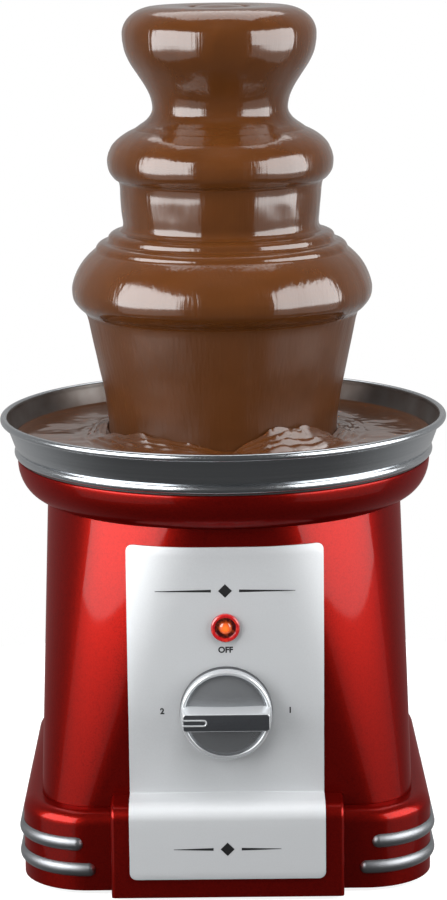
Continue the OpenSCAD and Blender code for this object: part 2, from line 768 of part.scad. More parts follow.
module gear_case() color(dark) difference() {
    union() {
        difference() {
            translate([0, 0, z_case]) linear_extrude(case_h - lay_gap) {
                case_plan(case_wall);
                for (p = case_posts) translate(p) circle(case_post_r);
            }
            translate([0, 0, z_case + case_t]) linear_extrude(case_h) case_plan(0);
        }
        translate([0, 0, z_case - low_boss_h]) cylinder(r = low_boss_r, h = low_boss_h + case_t / 2);
        translate([0, gear_axis, z_case + case_t - eps]) cylinder(r = case_post_r, h = 1 + eps);
    }
    translate([0, 0, z_case - low_boss_h - eps])
        cylinder(r = pin_r + run_fit, h = low_boss_h + case_t + 2 * eps);
    translate([0, gear_axis, z_case + pin_end - lay_gap])
        cylinder(r = pin_r + lay_gap / 2, h = case_t + pin_end);
    for (p = case_posts) translate([p[0], p[1], z_lid - screw_len - 2])
        cylinder(r = screw_r + lay_gap, h = screw_len + 3);
    for (x = [-1, 1]) translate([x * bolt_x, 0, z_case - eps])
        cylinder(r = screw_r + lay_gap, h = case_t + 2 * eps);
}

module case_screws() color(steel) for (p = case_posts) translate([p[0], p[1], z_chassis + chassis_t])
    mirror([0, 0, 1]) screw(screw_len + 4);

module idler_pin() color(steel) translate([0, gear_axis, z_case + pin_end])
    cylinder(r = pin_r, h = z_lid - z_case - lay_gap);

module motor_stack() color("slategray") translate([0, 0, z_stack]) linear_extrude(stack_h) difference() {
    slot = [1.6, 7];
    translate([-stack_w / 2, -stack_front]) square([stack_w, stack_front + stack_back]);
    circle(rotor_r + rotor_gap);
    translate([-stack_core[0] / 2, stack_front]) square(stack_core);
    for (x = [-1, 1]) translate([x * bolt_x, 0]) circle(screw_r + slip_fit);
    for (x = [-1, 1]) translate([x * (rotor_r + 2.8) - slot[0] / 2, 6]) square(slot);
}

// Winding round the stack's rear leg
module motor_coil() color("chocolate") translate([0, coil_y, z_stack + stack_h / 2]) difference() {
    hole = [leg_d + 3, stack_h + 3];
    cube([coil_w, hole[0] + 2 * coil_wind, hole[1] + 2 * coil_wind], center = true);
    cube([coil_w + 2 * eps, hole[0], hole[1]], center = true);
}

module coil_bobbin() color("ivory") translate([0, coil_y, z_stack + stack_h / 2]) difference() {
    flange = 1.6;
    length = coil_w + 2 * (flange + slip_fit);
    core = [leg_d + 0.4, stack_h + 0.4];
    union() {
        cube([length, core[0] + 2 * bobbin_wall, core[1] + 2 * bobbin_wall], center = true);
        for (x = [-1, 1]) translate([x * (length - flange) / 2, 0, 0])
            cube([flange, core[0] + 1.2 * coil_wind + 0.2, core[1] + 2 * coil_wind + 2.6], center = true);
    }
    cube([length + 2 * eps, core[0], core[1]], center = true);
}

module motor_bridge() color("gainsboro") difference() {
    boss_h = 3 * bridge_t;
    union() {
        translate([-stack_w / 2 + 1, -leg_d / 2, z_bridge]) cube([stack_w - 2, leg_d, bridge_t]);
        translate([0, 0, z_bridge]) cylinder(r = low_boss_r, h = boss_h);
    }
    translate([0, 0, z_bridge + pin_end - lay_gap]) cylinder(r = pin_r + run_fit, h = boss_h);
    for (x = [-1, 1]) translate([x * bolt_x, 0, z_bridge - eps])
        cylinder(r = screw_r + slip_fit, h = bridge_t + 2 * eps);
}

module motor_spacers() color("gold") for (x = [-1, 1]) translate([x * bolt_x, 0, 0]) {
    spacer(z_bridge + bridge_t + lay_gap / 2, z_stack - lay_gap / 2);
    spacer(z_stack + stack_h + lay_gap / 2, z_case - lay_gap / 2);
}

module spacer(z0, z1) translate([0, 0, z0]) difference() {
    cylinder(r = 3.5, h = z1 - z0);
    translate([0, 0, -eps]) cylinder(r = screw_r + slip_fit, h = z1 - z0 + 2 * eps);
}

module motor_bolts() color(steel) for (x = [-1, 1]) translate([x * bolt_x, 0, z_bridge])
    screw(z_case - z_bridge + case_t - 0.3);

module rotary_switch() color(dark) translate([0, 0, knob_z]) rotate([90, 0, 0]) {
    tab = [4.8, 0.8];
    translate([-switch_w / 2, -switch_w / 2, switch_back - switch_d]) cube([switch_w, switch_w, switch_d]);
    difference() {
        translate([0, 0, switch_back - eps])
            cylinder(r = switch_bush, h = knob_face + bush_stand - switch_back + eps);
        translate([0, 0, switch_back - eps])
            cylinder(r = shaft_r + run_fit, h = knob_face + bush_stand - switch_back + 2 * eps);
    }
    for (x = [-8, 0, 8]) translate([x - tab[0] / 2, 4, switch_back - switch_d - switch_tab])
        cube([tab[0], tab[1], switch_tab + eps]);
}

module switch_nut() color(steel) translate([0, 0, knob_z]) rotate([90, 0, 0])
    translate([0, 0, knob_face + lay_gap]) difference() {
        cylinder(r = nut_r, h = nut_t, $fn = 6);
        translate([0, 0, -eps]) cylinder(r = switch_bush + lay_gap, h = nut_t + 2 * eps);
    }

// Section of the switch's shaft where a flat drives the knob
module d_section(g) difference() {
    circle(shaft_r + g);
    translate([-2 * shaft_r, 0.6 * shaft_r + g]) square([4 * shaft_r, 2 * shaft_r]);
}

module switch_shaft() color(steel) translate([0, 0, knob_z]) rotate([90, 0, 0]) {
    start = switch_back + 0.6;
    flat = knob_face + bush_stand;
    translate([0, 0, start]) cylinder(r = shaft_r, h = flat + slip_fit - start);
    translate([0, 0, flat]) linear_extrude(knob_back + knob_len - 3 - flat) d_section(0);
}

module knob() color("silver") translate([0, 0, knob_z]) rotate([90, 0, 0]) translate([0, 0, knob_back]) {
    r = knob_d / 2;
    rim = 7;
    dish = 5.6;
    floor = 4.2;
    bar = 8;
    skirt = 3;
    nut_room = 3.4;
    groove = [12, 2.4, 0.6];
    difference() {
        union() {
            rotate_extrude() polygon([[0, nut_room], [nut_r + 1, nut_room], [nut_r + 1, floor],
                [r - skirt, floor], [r - skirt, 0], [r, 0], [r - 0.6, rim - 0.8], [r - 1.2, rim],
                [r - 2, rim], [r - 2.8, dish], [0, dish]]);
            translate([0, 0, floor]) intersection() {
                cylinder(r1 = r - 0.6, r2 = r - 1.6, h = knob_len - floor);
                translate([-r, -bar / 2, 0]) cube([2 * r, bar, knob_len]);
            }
        }
        translate([0, 0, -eps]) linear_extrude(knob_len - 1.6) d_section(lay_gap);
        translate([-r, -groove[1] / 2, knob_len - groove[2]]) cube([groove[0], groove[1], 1]);
        translate([groove[0] - r, 0, knob_len - groove[2]]) cylinder(r = groove[1] / 2, h = 1);
    }
}

// Round lead through the points p
module lead(p) {
    line = curve(p, 4);
    last = len(line) - 1;
    side = [0.31, 0.52, 0.79];
    sides = 8;
    function unit(v) = v / norm(v);
    rings = [for (i = [0 : last])
        let (t = unit(line[min(i + 1, last)] - line[max(i - 1, 0)]), u = unit(cross(t, side)),
            v = cross(t, u))
        for (k = [0 : sides - 1]) line[i] + lead_r * (u * cos(360 * k / sides) + v * sin(360 * k / sides))];
    walls = [for (i = [0 : last - 1], k = [0 : sides - 1])
        let (a = i * sides + k, b = i * sides + (k + 1) % sides) [a, a + sides, b + sides, b]];
    ends = [[for (k = [0 : sides - 1]) k], [for (k = [sides - 1 : -1 : 0]) last * sides + k]];
    polyhedron(rings, concat(walls, ends));
}

// Leads from the cord bush to the switch, and from the switch to the coil and to the heater
module leads() color("black") {
    tab = switch_d + switch_tab - switch_back + 0.9;
    tab_z = knob_z + 4.4;
    low = z_cover + 8;
    lead([[0, base_d / 2 - wall - 4, cord_z], [0, 55, low], [0, 0, low], [0, -30, low + 2],
        [0, -40, z_deck + 8], [0, tab + 6, tab_z - 9], [0, tab, tab_z]]);
    lead([[8, tab, tab_z], [14, tab + 8, tab_z], [36, -12, z_stack - 6], [36, 22, z_stack - 6],
        [27, 40, z_stack - 6], [16.2, 41, z_stack - 6]]);
    lead([[-8, tab, tab_z], [-14, tab + 6, tab_z + 2], [lead_hole[0], lead_hole[1] - 3, z_case - 6],
        [lead_hole[0], lead_hole[1], z_chassis - 2],
        [lead_hole[0] + 3, lead_hole[1] + 4, z_chassis + chassis_t + 3],
        [-34, 2, z_chassis + chassis_t + 2.4],
        [heater_ring * cos(105) - 5, heater_ring * sin(105) - 6, z_chassis + chassis_t + 2.4],
        [heater_ring * cos(105), heater_ring * sin(105), z_heater - heater_end - 1.2]]);
}

module pilot_lens() color("red") translate([0, 0, pilot_z]) rotate([90, 0, 0]) {
    back = pilot_face - 13;
    cap = pilot_face - 1.4;
    flange = pilot_d / 2;
    front = pilot_face + 2.2;
    ditch = pilot_face + 0.9;
    rotate_extrude() polygon([[0, front], [0, cap], [pilot_bore, cap], [pilot_bore, back],
        [pilot_barrel, back], [pilot_barrel, pilot_face + lay_gap], [flange, pilot_face + lay_gap],
        [flange, front - 0.8], [flange - 0.8, front], [4.2, front], [3.9, ditch], [3.3, ditch],
        [2.6, front - 0.7], [1.4, front - 0.2]]);
}

module pilot_bulb() color("orange") translate([0, 0, pilot_z]) rotate([90, 0, 0]) {
    translate([0, 0, pilot_face - 16]) cylinder(r = bulb_r, h = 11);
    translate([0, 0, pilot_face - 5]) sphere(bulb_r);
}

module pilot_clip() color("gainsboro") translate([0, 0, pilot_z]) rotate([90, 0, 0])
    translate([0, 0, face_in(pilot_z, clip_r) - wall - 2 * clip_t]) difference() {
        cylinder(r = clip_r, h = clip_t);
        translate([0, 0, -eps]) cylinder(r = pilot_barrel + lay_gap, h = clip_t + 2 * eps);
    }

module tower_stem() color("gainsboro") difference() {
    rotate_extrude() polygon([[stem_bore, z_bed + lay_gap], [foot_r, z_bed + lay_gap],
        [foot_r, z_bed + foot_t], [stem_r0, z_bed + foot_t + 1], [stem_r0, z_step1],
        [stem_r1, z_step1], [stem_r1, z_step2],
        [stem_r2, z_step2], [stem_r2, z_crown], [stem_r3, z_crown], [stem_r3, z_stem], [stem_bore, z_stem]]);
    sill = z_bed + foot_t + 1.4;
    for (a = window_angles) rotate([0, 0, a]) {
        translate([0, -window_w / 2, sill]) cube([foot_r, window_w, window_h]);
        translate([0, 0, sill + window_h]) rotate([0, 90, 0]) cylinder(r = window_w / 2, h = foot_r);
    }
    for (a = pin_angles) rotate([0, 0, a]) translate([pin_ring, 0, z_bed - eps])
        cylinder(r = bowl_pin + move_gap, h = 8);
}

module tier(seat, rim, z, dome) color(steel) {
    bore = seat + lay_gap;
    line = tier_line(bore + hub_w, rim, z, dome);
    rotate_extrude() polygon(concat([[bore, z + dome]], line, reversed(shifted(line, tier_t)),
        [[bore + hub_w, z + dome - hub_h + lay_gap], [bore, z + dome - hub_h + lay_gap]]));
}

module lower_tier() tier(stem_r1, lower_r, z_lower, lower_dome);
module middle_tier() tier(stem_r2, middle_r, z_middle, middle_dome);

module crown() color(steel) {
    line = crown_line();
    bore = stem_r3 + lay_gap;
    rotate_extrude() {
        polygon(concat(line, reversed(shifted(line, -tier_t))));
        translate([bore, z_crown + lay_gap]) square([crown_neck - bore - 0.5, 2]);
        translate([bore, z_crown + lay_gap]) square([hub_w, hub_h]);
    }
}

// Chocolate over a tier: a film on the dome, a rounded lip and a curtain down to its foot
module chocolate_fall(seat, rim, z, dome, inner_r, fall) color(chocolate) {
    line = [for (p = tier_line(seat + lay_gap + hub_w, rim, z, dome)) if (p[0] > inner_r) p];
    top = [for (i = [0 : len(line) - 2]) shifted(line, -bulge - (i % 2 == 1 ? ripple : 0))[i]];
    lip = oval([rim + bulge - lip_w, z], lip_w, lip_h, 0, -80, 6);
    curtain = curve(concat([lip[6]], fall), 4);
    inside = shifted(curtain, film);
    under = reversed(shifted(line, -lay_gap));
    rotate_extrude() polygon(concat(curve(top, 3), lip, curtain, reversed(inside), under));
}

module chocolate_middle() chocolate_fall(stem_r2, middle_r, z_middle, middle_dome, crown_neck - 1,
    [[middle_r - 2.6, z_middle - 17],
        [middle_r - 3.2, tier_top(middle_r - 6, stem_r1, lower_r, z_lower, lower_dome)]]);
module chocolate_lower() chocolate_fall(stem_r1, lower_r, z_lower, lower_dome, middle_r - 8,
    [[lower_r - 9.4, z_lower - 36], [lower_r - 12.8, z_pool + move_gap]]);

module chocolate_crown() color(chocolate) {
    line = crown_line();
    land = tier_top(crown_neck, stem_r2, middle_r, z_middle, middle_dome);
    neck = crown_neck + film;
    coat = film + move_gap;
    brow = 0.7 * crown_r;
    fill = z_crown + hub_h + move_gap;
    outer = concat([[neck + 1.6, land], [neck + 0.3, land + 3]], shifted(line, coat),
        oval([brow, z_crown + crown_h], crown_r + coat - brow, cap_rise + move_gap, 0, 90, 8),
        [[stem_bore, z_cap], [stem_bore, z_stem + lay_gap], [stem_r3 + lay_gap, z_stem + lay_gap],
        [stem_r3 + lay_gap + hub_w, fill], [crown_neck - tier_t, fill]]);
    inner = concat([for (p = shifted(line, -tier_t - lay_gap)) if (p[1] > fill + 0.6) p],
        [line[10] + [0, lay_gap]], reversed(shifted(line, lay_gap)), [[crown_neck + lay_gap, land]]);
    rotate_extrude() polygon(concat(outer, inner));
}

module auger() color("ivory") {
    foot = z_bed + auger_foot;
    socket = z_bush + seal_t + 0.4;
    difference() {
        translate([0, 0, foot]) cylinder(r = core_r, h = z_auger - foot);
        translate([0, 0, foot - eps]) cylinder(r = bush_r + move_gap, h = socket - foot + eps);
        translate([0, 0, socket - eps])
            cylinder(r = (dog_af / 2 + slip_fit) / cos(30), h = dog_h + 1 + eps, $fn = 6);
    }
    flight();
}

// Helical flight of the auger, a sector of the flight's ring turned while it is drawn up
module flight() {
    length = z_stem - z_bed - 8;
    sector = flight_t / flight_pitch * 180;
    ring = concat(oval([0, 0], core_r - 0.4, core_r - 0.4, -sector, sector, 2),
        oval([0, 0], flight_r, flight_r, sector, -sector, 3));
    translate([0, 0, z_bed + 6]) linear_extrude(length, twist = -360 * length / flight_pitch,
        slices = round(length / flight_pitch * 18), $fn = 6) polygon(ring);
}

module chocolate_well() color(chocolate) rotate_extrude()
    polygon(concat([[0, z_auger + lay_gap], [stem_bore - 0.5, z_auger + lay_gap]],
        oval([0, z_well - well_round], stem_bore - 0.5, well_round, 0, 90, 8)));

module drive_shaft() color(steel) translate([0, 0, z_high - eps])
    cylinder(r = shaft_r, h = z_dog + dog_h - z_high + eps);

module drive_dog() color("goldenrod") translate([0, 0, z_dog]) difference() {
    cylinder(r = dog_af / 2 / cos(30), h = dog_h - 0.5, $fn = 6);
    translate([0, 0, -eps]) cylinder(r = shaft_r + lay_gap / 2, h = dog_h + eps);
}

module output_gear() color("ivory") translate([0, 0, z_high]) difference() {
    linear_extrude(face_high) polygon(gear_outline(gear_teeth, addendum, 90));
    translate([0, 0, -eps]) cylinder(r = shaft_r + lay_gap / 2, h = face_high + 2 * eps);
}

module idler_gear() color("ivory") translate([0, gear_axis, 0]) difference() {
    union() {
        translate([0, 0, z_low]) linear_extrude(face_low) polygon(gear_outline(gear_teeth, addendum, 270));
        translate([0, 0, z_low]) linear_extrude(z_high + face_high + eps - z_low)
            polygon(gear_outline(pinion_teeth, 1, 270 + 180 / pinion_teeth));
    }
    translate([0, 0, z_low - eps]) cylinder(r = pin_r + run_fit, h = z_high + face_high + 3 * eps - z_low);
}

module rotor_pinion() color("gold") translate([0, 0, z_low - 0.3]) difference() {
    linear_extrude(face_low + 0.6) polygon(gear_outline(pinion_teeth, 1, 90 + 180 / pinion_teeth));
    translate([0, 0, -eps]) cylinder(r = pin_r + lay_gap / 2, h = face_low + 2);
}

module rotor() color("darkgray") {
    translate([0, 0, z_stack]) cylinder(r = rotor_r, h = stack_h);
    translate([0, 0, z_bridge + pin_end]) cylinder(r = pin_r, h = z_low + face_low - z_bridge - pin_end);
}

base_skirt();
body_shell();
collar();
front_panel();
bottom_cover();
feet();
cover_screws();
shell_screws();
strip_left_upper();
strip_left_lower();
strip_right_upper();
strip_right_lower();
cord_bush();
bowl();
bowl_gasket();
chocolate_pool();
shaft_bush();
bush_nut();
shaft_seal();
heat_plate();
bowl_studs();
stud_nuts();
heater();
thermostat();
thermal_fuse();
chassis_plate();
chassis_screws();
gear_lid();
gear_case();
case_screws();
idler_pin();
motor_stack();
motor_coil();
coil_bobbin();
motor_bridge();
motor_spacers();
motor_bolts();
rotary_switch();
switch_nut();
leads();
pilot_lens();
pilot_bulb();
pilot_clip();
switch_shaft();
knob();
tower_stem();
lower_tier();
middle_tier();
crown();
chocolate_lower();
chocolate_middle();
chocolate_crown();
auger();
chocolate_well();
drive_shaft();
drive_dog();
output_gear();
idler_gear();
rotor();
rotor_pinion();
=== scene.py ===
"""Finished looks of a chocolate fountain with three tiers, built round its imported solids."""

import math

import bmesh
import bpy
from mathutils import Matrix, Vector, noise


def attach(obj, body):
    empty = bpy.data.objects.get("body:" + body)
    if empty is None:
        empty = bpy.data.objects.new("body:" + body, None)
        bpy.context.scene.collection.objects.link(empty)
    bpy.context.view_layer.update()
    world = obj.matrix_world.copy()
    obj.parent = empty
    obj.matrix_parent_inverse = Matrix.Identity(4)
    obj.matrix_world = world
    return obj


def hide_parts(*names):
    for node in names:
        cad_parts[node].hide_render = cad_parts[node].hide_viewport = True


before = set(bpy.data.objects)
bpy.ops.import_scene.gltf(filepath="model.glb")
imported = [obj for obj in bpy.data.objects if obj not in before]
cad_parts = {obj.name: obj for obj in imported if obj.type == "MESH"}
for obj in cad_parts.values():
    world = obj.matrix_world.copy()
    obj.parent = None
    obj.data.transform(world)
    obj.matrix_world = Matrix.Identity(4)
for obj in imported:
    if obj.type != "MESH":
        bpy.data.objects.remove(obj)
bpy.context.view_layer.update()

# Bottom cover with its feet and screws.
# The cover is moulded in black ABS and held up against the skirt by zinc-plated steel screws.
# Four rubber feet are pressed through it.


def linear(code):
    """Linear colour of an sRGB hex code."""
    parts = [int(code[i : i + 2], 16) / 255 for i in (0, 2, 4)]
    return (*[c / 12.92 if c <= 0.04045 else ((c + 0.055) / 1.055) ** 2.4 for c in parts], 1.0)


def add_node(material, kind, settings, links):
    """Adds a node with its settings, and links sockets to its inputs."""
    node = material.node_tree.nodes.new(kind)
    for key, value in settings.items():
        if isinstance(key, str) and hasattr(node, key):
            setattr(node, key, value)
        else:
            node.inputs[key].default_value = value
    for key, socket in links.items():
        material.node_tree.links.new(socket, node.inputs[key])
    return node


def new_finish(name, colour, **sockets):
    """A material of one shader, with its constant values set on the shader's own sockets."""
    material = bpy.data.materials.new(name)
    material.use_nodes = True
    shader = material.node_tree.nodes["Principled BSDF"]
    shader.inputs["Base Color"].default_value = linear(colour)
    for key, value in sockets.items():
        shader.inputs[key.replace("_", " ").title().replace("Ior", "IOR")].default_value = value
    return material, shader


def add_grain(material, shader, grain_mm, depth_mm, colours, roughness):
    """Colour, roughness and fine relief that follow one noise with grains of the given size."""
    place = add_node(material, "ShaderNodeTexCoord", {}, {})
    grain = add_node(material, "ShaderNodeTexNoise", {"Scale": 1000 / grain_mm, "Detail": 3.0},
                     {"Vector": place.outputs["Object"]})
    mixed = add_node(material, "ShaderNodeMix",
                     {"data_type": "RGBA", 6: linear(colours[0]), 7: linear(colours[1])},
                     {0: grain.outputs["Fac"]})
    level = add_node(material, "ShaderNodeMapRange", {"To Min": roughness[0], "To Max": roughness[1]},
                     {"Value": grain.outputs["Fac"]})
    relief = add_node(material, "ShaderNodeBump", {"Strength": 0.3, "Distance": depth_mm / 1000},
                      {"Height": grain.outputs["Fac"]})
    material.node_tree.links.new(mixed.outputs[2], shader.inputs["Base Color"])
    material.node_tree.links.new(level.outputs["Result"], shader.inputs["Roughness"])
    material.node_tree.links.new(relief.outputs["Normal"], shader.inputs["Normal"])


def dress(material, *nodes):
    """Gives carried-over solids their finish."""
    for node in nodes:
        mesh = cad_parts[node].data
        mesh.materials.clear()
        mesh.materials.append(material)


# Moulded black ABS with a spark-eroded grain, dull with faint speckles
black_abs, shader = new_finish("moulded_black_abs", "141414", ior=1.54)
add_grain(black_abs, shader, 0.8, 0.05, ("101010", "1b1b1b"), (0.45, 0.6))
# Black rubber, moulded and matt, with a little bloom
black_rubber, shader = new_finish("moulded_black_rubber", "121212", ior=1.52)
add_grain(black_rubber, shader, 2.0, 0.05, ("0c0c0c", "1a1a1a"), (0.6, 0.8))
# Zinc-plated steel with the cloudy spangle of barrel plating
zinc_steel, shader = new_finish("zinc_plated_steel", "a9adb0", metallic=1.0)
add_grain(zinc_steel, shader, 3.0, 0.02, ("9a9ea2", "b9bcbe"), (0.28, 0.42))

dress(black_abs, "bottom_cover")
dress(black_rubber, "feet")
dress(zinc_steel, "cover_screws", "shell_screws")

# Base skirt with its plinth block.
# Moulded in one piece and lacquered candy red; the plinth carries the lower end of the front panel.
# A rounded block with a rounded shoulder, open below, and the narrower plinth standing out of its front.

# Sizes in millimetres, as (width, depth, height)
skirt_size = (179.0, 176.0, 35.0)
skirt_corner = 29.5
skirt_z = 2.0
shoulder = 6.0
deck_margin = 30.0
plinth_size = (100.0, 18.0, 40.5)
plinth_front = -98.0
plinth_round = 6.0
plinth_edge = 1.6
housing_wall = 2.4
near_zero = 0.01


def plan_face(bm, width, depth, corner, height, segments=20):
    """A flat face with rounded corners in plan."""
    made = bmesh.ops.create_grid(bm, x_segments=1, y_segments=1, size=0.5)["verts"]
    bmesh.ops.scale(bm, vec=(width, depth, 1), verts=made)
    bmesh.ops.translate(bm, vec=(0, 0, height), verts=made)
    bmesh.ops.bevel(bm, geom=made, offset=corner, segments=segments, profile=0.5,
                    affect="VERTICES", material=-1)


def given_wall(bm, thickness):
    """Thickens the open shell inwards, so that its outside stays where it is."""
    bmesh.ops.remove_doubles(bm, verts=bm.verts, dist=0.0005)
    bmesh.ops.recalc_face_normals(bm, faces=bm.faces)
    bmesh.ops.solidify(bm, geom=bm.faces[:], thickness=thickness)


def opened_below(bm):
    """Takes away the faces that lie on the skirt's lower edge."""
    low = [f for f in bm.faces if max(v.co.z for v in f.verts) < skirt_z + near_zero]
    bmesh.ops.delete(bm, geom=low, context="FACES_ONLY")


def finished_piece(bm, name, material, body, replaced=(), sharp_deg=40.0):
    """Turns a bmesh in millimetres into a piece on a body, which stands for the replaced nodes."""
    bmesh.ops.remove_doubles(bm, verts=bm.verts, dist=0.0005)
    bmesh.ops.recalc_face_normals(bm, faces=bm.faces)
    bmesh.ops.scale(bm, vec=(0.001, 0.001, 0.001), verts=bm.verts)
    mesh = bpy.data.meshes.new(name)
    bm.to_mesh(mesh)
    bm.free()
    mesh.shade_smooth()
    mesh.set_sharp_from_angle(angle=math.radians(sharp_deg))
    mesh.materials.append(material)
    made = bpy.data.objects.new(name, mesh)
    bpy.context.scene.collection.objects.link(made)
    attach(made, body)
    if replaced:
        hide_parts(*replaced)
    return made


# Candy red lacquer over metal flake, sealed by clear coat: deep maroon in shade, bright red in the light.
# Real flakes are about 0.05 mm; they are drawn at 0.7 mm so that they show.
flake_mm = 0.7
red_lacquer, shader = new_finish("candy_red_lacquer", "760e0a", metallic=0.84, roughness=0.31,
                                 coat_weight=0.17, coat_roughness=0.05, coat_ior=1.5)
shader.inputs["Specular Tint"].default_value = linear("d83a24")
place = add_node(red_lacquer, "ShaderNodeTexCoord", {}, {})
flakes = add_node(red_lacquer, "ShaderNodeTexVoronoi", {"Scale": 1000 / flake_mm},
                  {"Vector": place.outputs["Object"]})
tint = add_node(red_lacquer, "ShaderNodeMix",
                {"data_type": "RGBA", 6: linear("7c100a"), 7: linear("640b08")},
                {0: flakes.outputs["Distance"]})
glint = add_node(red_lacquer, "ShaderNodeBump", {"Strength": 0.12, "Distance": 0.0001},
                 {"Height": flakes.outputs["Distance"]})
red_lacquer.node_tree.links.new(tint.outputs[2], shader.inputs["Base Color"])
red_lacquer.node_tree.links.new(glint.outputs["Normal"], shader.inputs["Normal"])

bm = bmesh.new()
plan_face(bm, skirt_size[0], skirt_size[1], skirt_corner, skirt_z)
risen = bmesh.ops.extrude_face_region(bm, geom=bm.faces[:])["geom"]
bmesh.ops.translate(bm, vec=(0, 0, skirt_size[2]),
                    verts=[v for v in risen if isinstance(v, bmesh.types.BMVert)])
top = next(f for f in risen if isinstance(f, bmesh.types.BMFace))
bmesh.ops.bevel(bm, geom=list(top.edges), offset=shoulder, segments=8, profile=0.5,
                affect="EDGES", material=-1)
opened_below(bm)
deck = max(bm.faces, key=lambda f: f.calc_center_median().z + (len(f.verts) > 4))
bmesh.ops.inset_region(bm, faces=[deck], thickness=deck_margin)
bmesh.ops.delete(bm, geom=[deck], context="FACES_ONLY")
given_wall(bm, housing_wall)
finished_piece(bm, "skirt_housing", red_lacquer, "base", ["base_skirt"])

bm = bmesh.new()
block = bmesh.ops.create_cube(bm, size=1.0)["verts"]
bmesh.ops.scale(bm, vec=plinth_size, verts=block)
bmesh.ops.translate(bm, vec=(0, plinth_front + plinth_size[1] / 2, skirt_z + plinth_size[2] / 2),
                    verts=block)
brow = [e for e in bm.edges
        if all(v.co.y < plinth_front + 0.1 and v.co.z > skirt_z + 1 for v in e.verts)]
bmesh.ops.bevel(bm, geom=brow, offset=plinth_round, segments=10, profile=0.5, affect="EDGES", material=-1)
sides = [e for e in bm.edges
         if abs(e.verts[0].co.x - e.verts[1].co.x) < near_zero
         and min(v.co.y for v in e.verts) < plinth_front + plinth_size[1] - 0.1
         and max(v.co.z for v in e.verts) > skirt_z + 0.1]
bmesh.ops.bevel(bm, geom=sides, offset=plinth_edge, segments=4, profile=0.5, affect="EDGES", material=-1)
opened_below(bm)
given_wall(bm, housing_wall)
finished_piece(bm, "plinth_block", red_lacquer, "base")

# Chrome strips round the front corners of the skirt.
# Half-round plated mouldings, two on each side, whose pegs go through the skirt's wall.
# The solids have the right form, so they only get their plating.

# Chrome plating, a little dulled by handling: bright lines along the tops and grey below them
chrome, shader = new_finish("chrome_plating", "808285", metallic=1.0)
add_grain(chrome, shader, 9.0, 0.02, ("7b7d80", "86888b"), (0.4, 0.48))
dress(chrome, "strip_left_upper", "strip_left_lower", "strip_right_upper", "strip_right_lower")

# Cord bush at the rear.
# A moulded rubber grommet, snapped into the skirt's rear wall.
dress(black_rubber, "cord_bush")

# Motor and gears inside the body.
# A shaded-pole motor of stamped sheets with an enamelled copper winding drives the shaft through two
# stages of nylon gears in a black case.

# Natural nylon, moulded: a milky off-white with a soft shine
nylon, shader = new_finish("natural_nylon", "918a76", ior=1.53, subsurface_weight=0.1)
add_grain(nylon, shader, 1.5, 0.02, ("89826e", "99927f"), (0.38, 0.5))
# Plain rolled aluminium: pale and softly bright, with a fine even grain
aluminium, shader = new_finish("plain_aluminium", "bfc2c5", metallic=1.0)
add_grain(aluminium, shader, 1.2, 0.02, ("b2b5b8", "cacccf"), (0.32, 0.45))
# Turned brass: warm yellow with a fine bright grain
brass, shader = new_finish("turned_brass", "b58a3f", metallic=1.0)
add_grain(brass, shader, 0.8, 0.02, ("a97f38", "c29850"), (0.22, 0.34))

# Stamped sheets about 0.5 mm thick, drawn as dark lines along the stack's height
lamination, shader = new_finish("stamped_motor_sheets", "5b5f66", metallic=0.9, roughness=0.45)
sheet_mm = 0.5
wave_turns = math.tau * 1000 / 20
place = add_node(lamination, "ShaderNodeTexCoord", {}, {})
sheets = add_node(lamination, "ShaderNodeTexWave",
                  {"bands_direction": "Z", "Scale": wave_turns / sheet_mm, "Distortion": 0.2},
                  {"Vector": place.outputs["Object"]})
tint = add_node(lamination, "ShaderNodeMix",
                {"data_type": "RGBA", 6: linear("33363b"), 7: linear("6c7078")},
                {0: sheets.outputs["Fac"]})
lamination.node_tree.links.new(tint.outputs[2], shader.inputs["Base Color"])

# Enamelled wire about 0.3 mm thick, drawn at 0.8 mm so that the turns show
copper, shader = new_finish("enamelled_copper_wire", "8a4a22", metallic=0.8, roughness=0.35)
wire_mm = 0.8
place = add_node(copper, "ShaderNodeTexCoord", {}, {})
turns = add_node(copper, "ShaderNodeTexWave",
                 {"bands_direction": "X", "Scale": wave_turns / wire_mm, "Distortion": 0.4},
                 {"Vector": place.outputs["Object"]})
tint = add_node(copper, "ShaderNodeMix", {"data_type": "RGBA", 6: linear("5e2c12"), 7: linear("a55f2e")},
                {0: turns.outputs["Fac"]})
ridge = add_node(copper, "ShaderNodeBump", {"Strength": 0.5, "Distance": 0.0002},
                 {"Height": turns.outputs["Fac"]})
copper.node_tree.links.new(tint.outputs[2], shader.inputs["Base Color"])
copper.node_tree.links.new(ridge.outputs["Normal"], shader.inputs["Normal"])

dress(lamination, "motor_stack", "rotor")
dress(copper, "motor_coil")
dress(nylon, "coil_bobbin", "output_gear", "idler_gear")
dress(aluminium, "motor_bridge")
dress(brass, "motor_spacers", "rotor_pinion", "drive_dog")
dress(black_abs, "gear_lid", "gear_case")
dress(zinc_steel, "motor_bolts", "case_screws", "idler_pin", "drive_shaft")

# Chassis plate, heater and switch inside the body.
# A zinc-plated plate carries the gear case below and the aluminium heat plate above. The rotary switch
# sits behind the front wall, and leads join them.
dress(zinc_steel, "chassis_plate", "chassis_screws", "bowl_studs", "stud_nuts", "heater", "bush_nut",
      "switch_nut", "switch_shaft", "pilot_clip")
dress(aluminium, "heat_plate")
dress(nylon, "thermostat", "thermal_fuse")
dress(black_abs, "rotary_switch", "leads")

# Body shell.
# Moulded and lacquered like the skirt: a rounded square at its foot that turns almost round at its top.
# Two plan faces, as (width, depth, corner, height), are bridged, so the wall keeps true curves.
body_foot = (163.0, 160.0, 26.0, 37.1)
body_head = (158.0, 158.0, 72.0, 160.0)

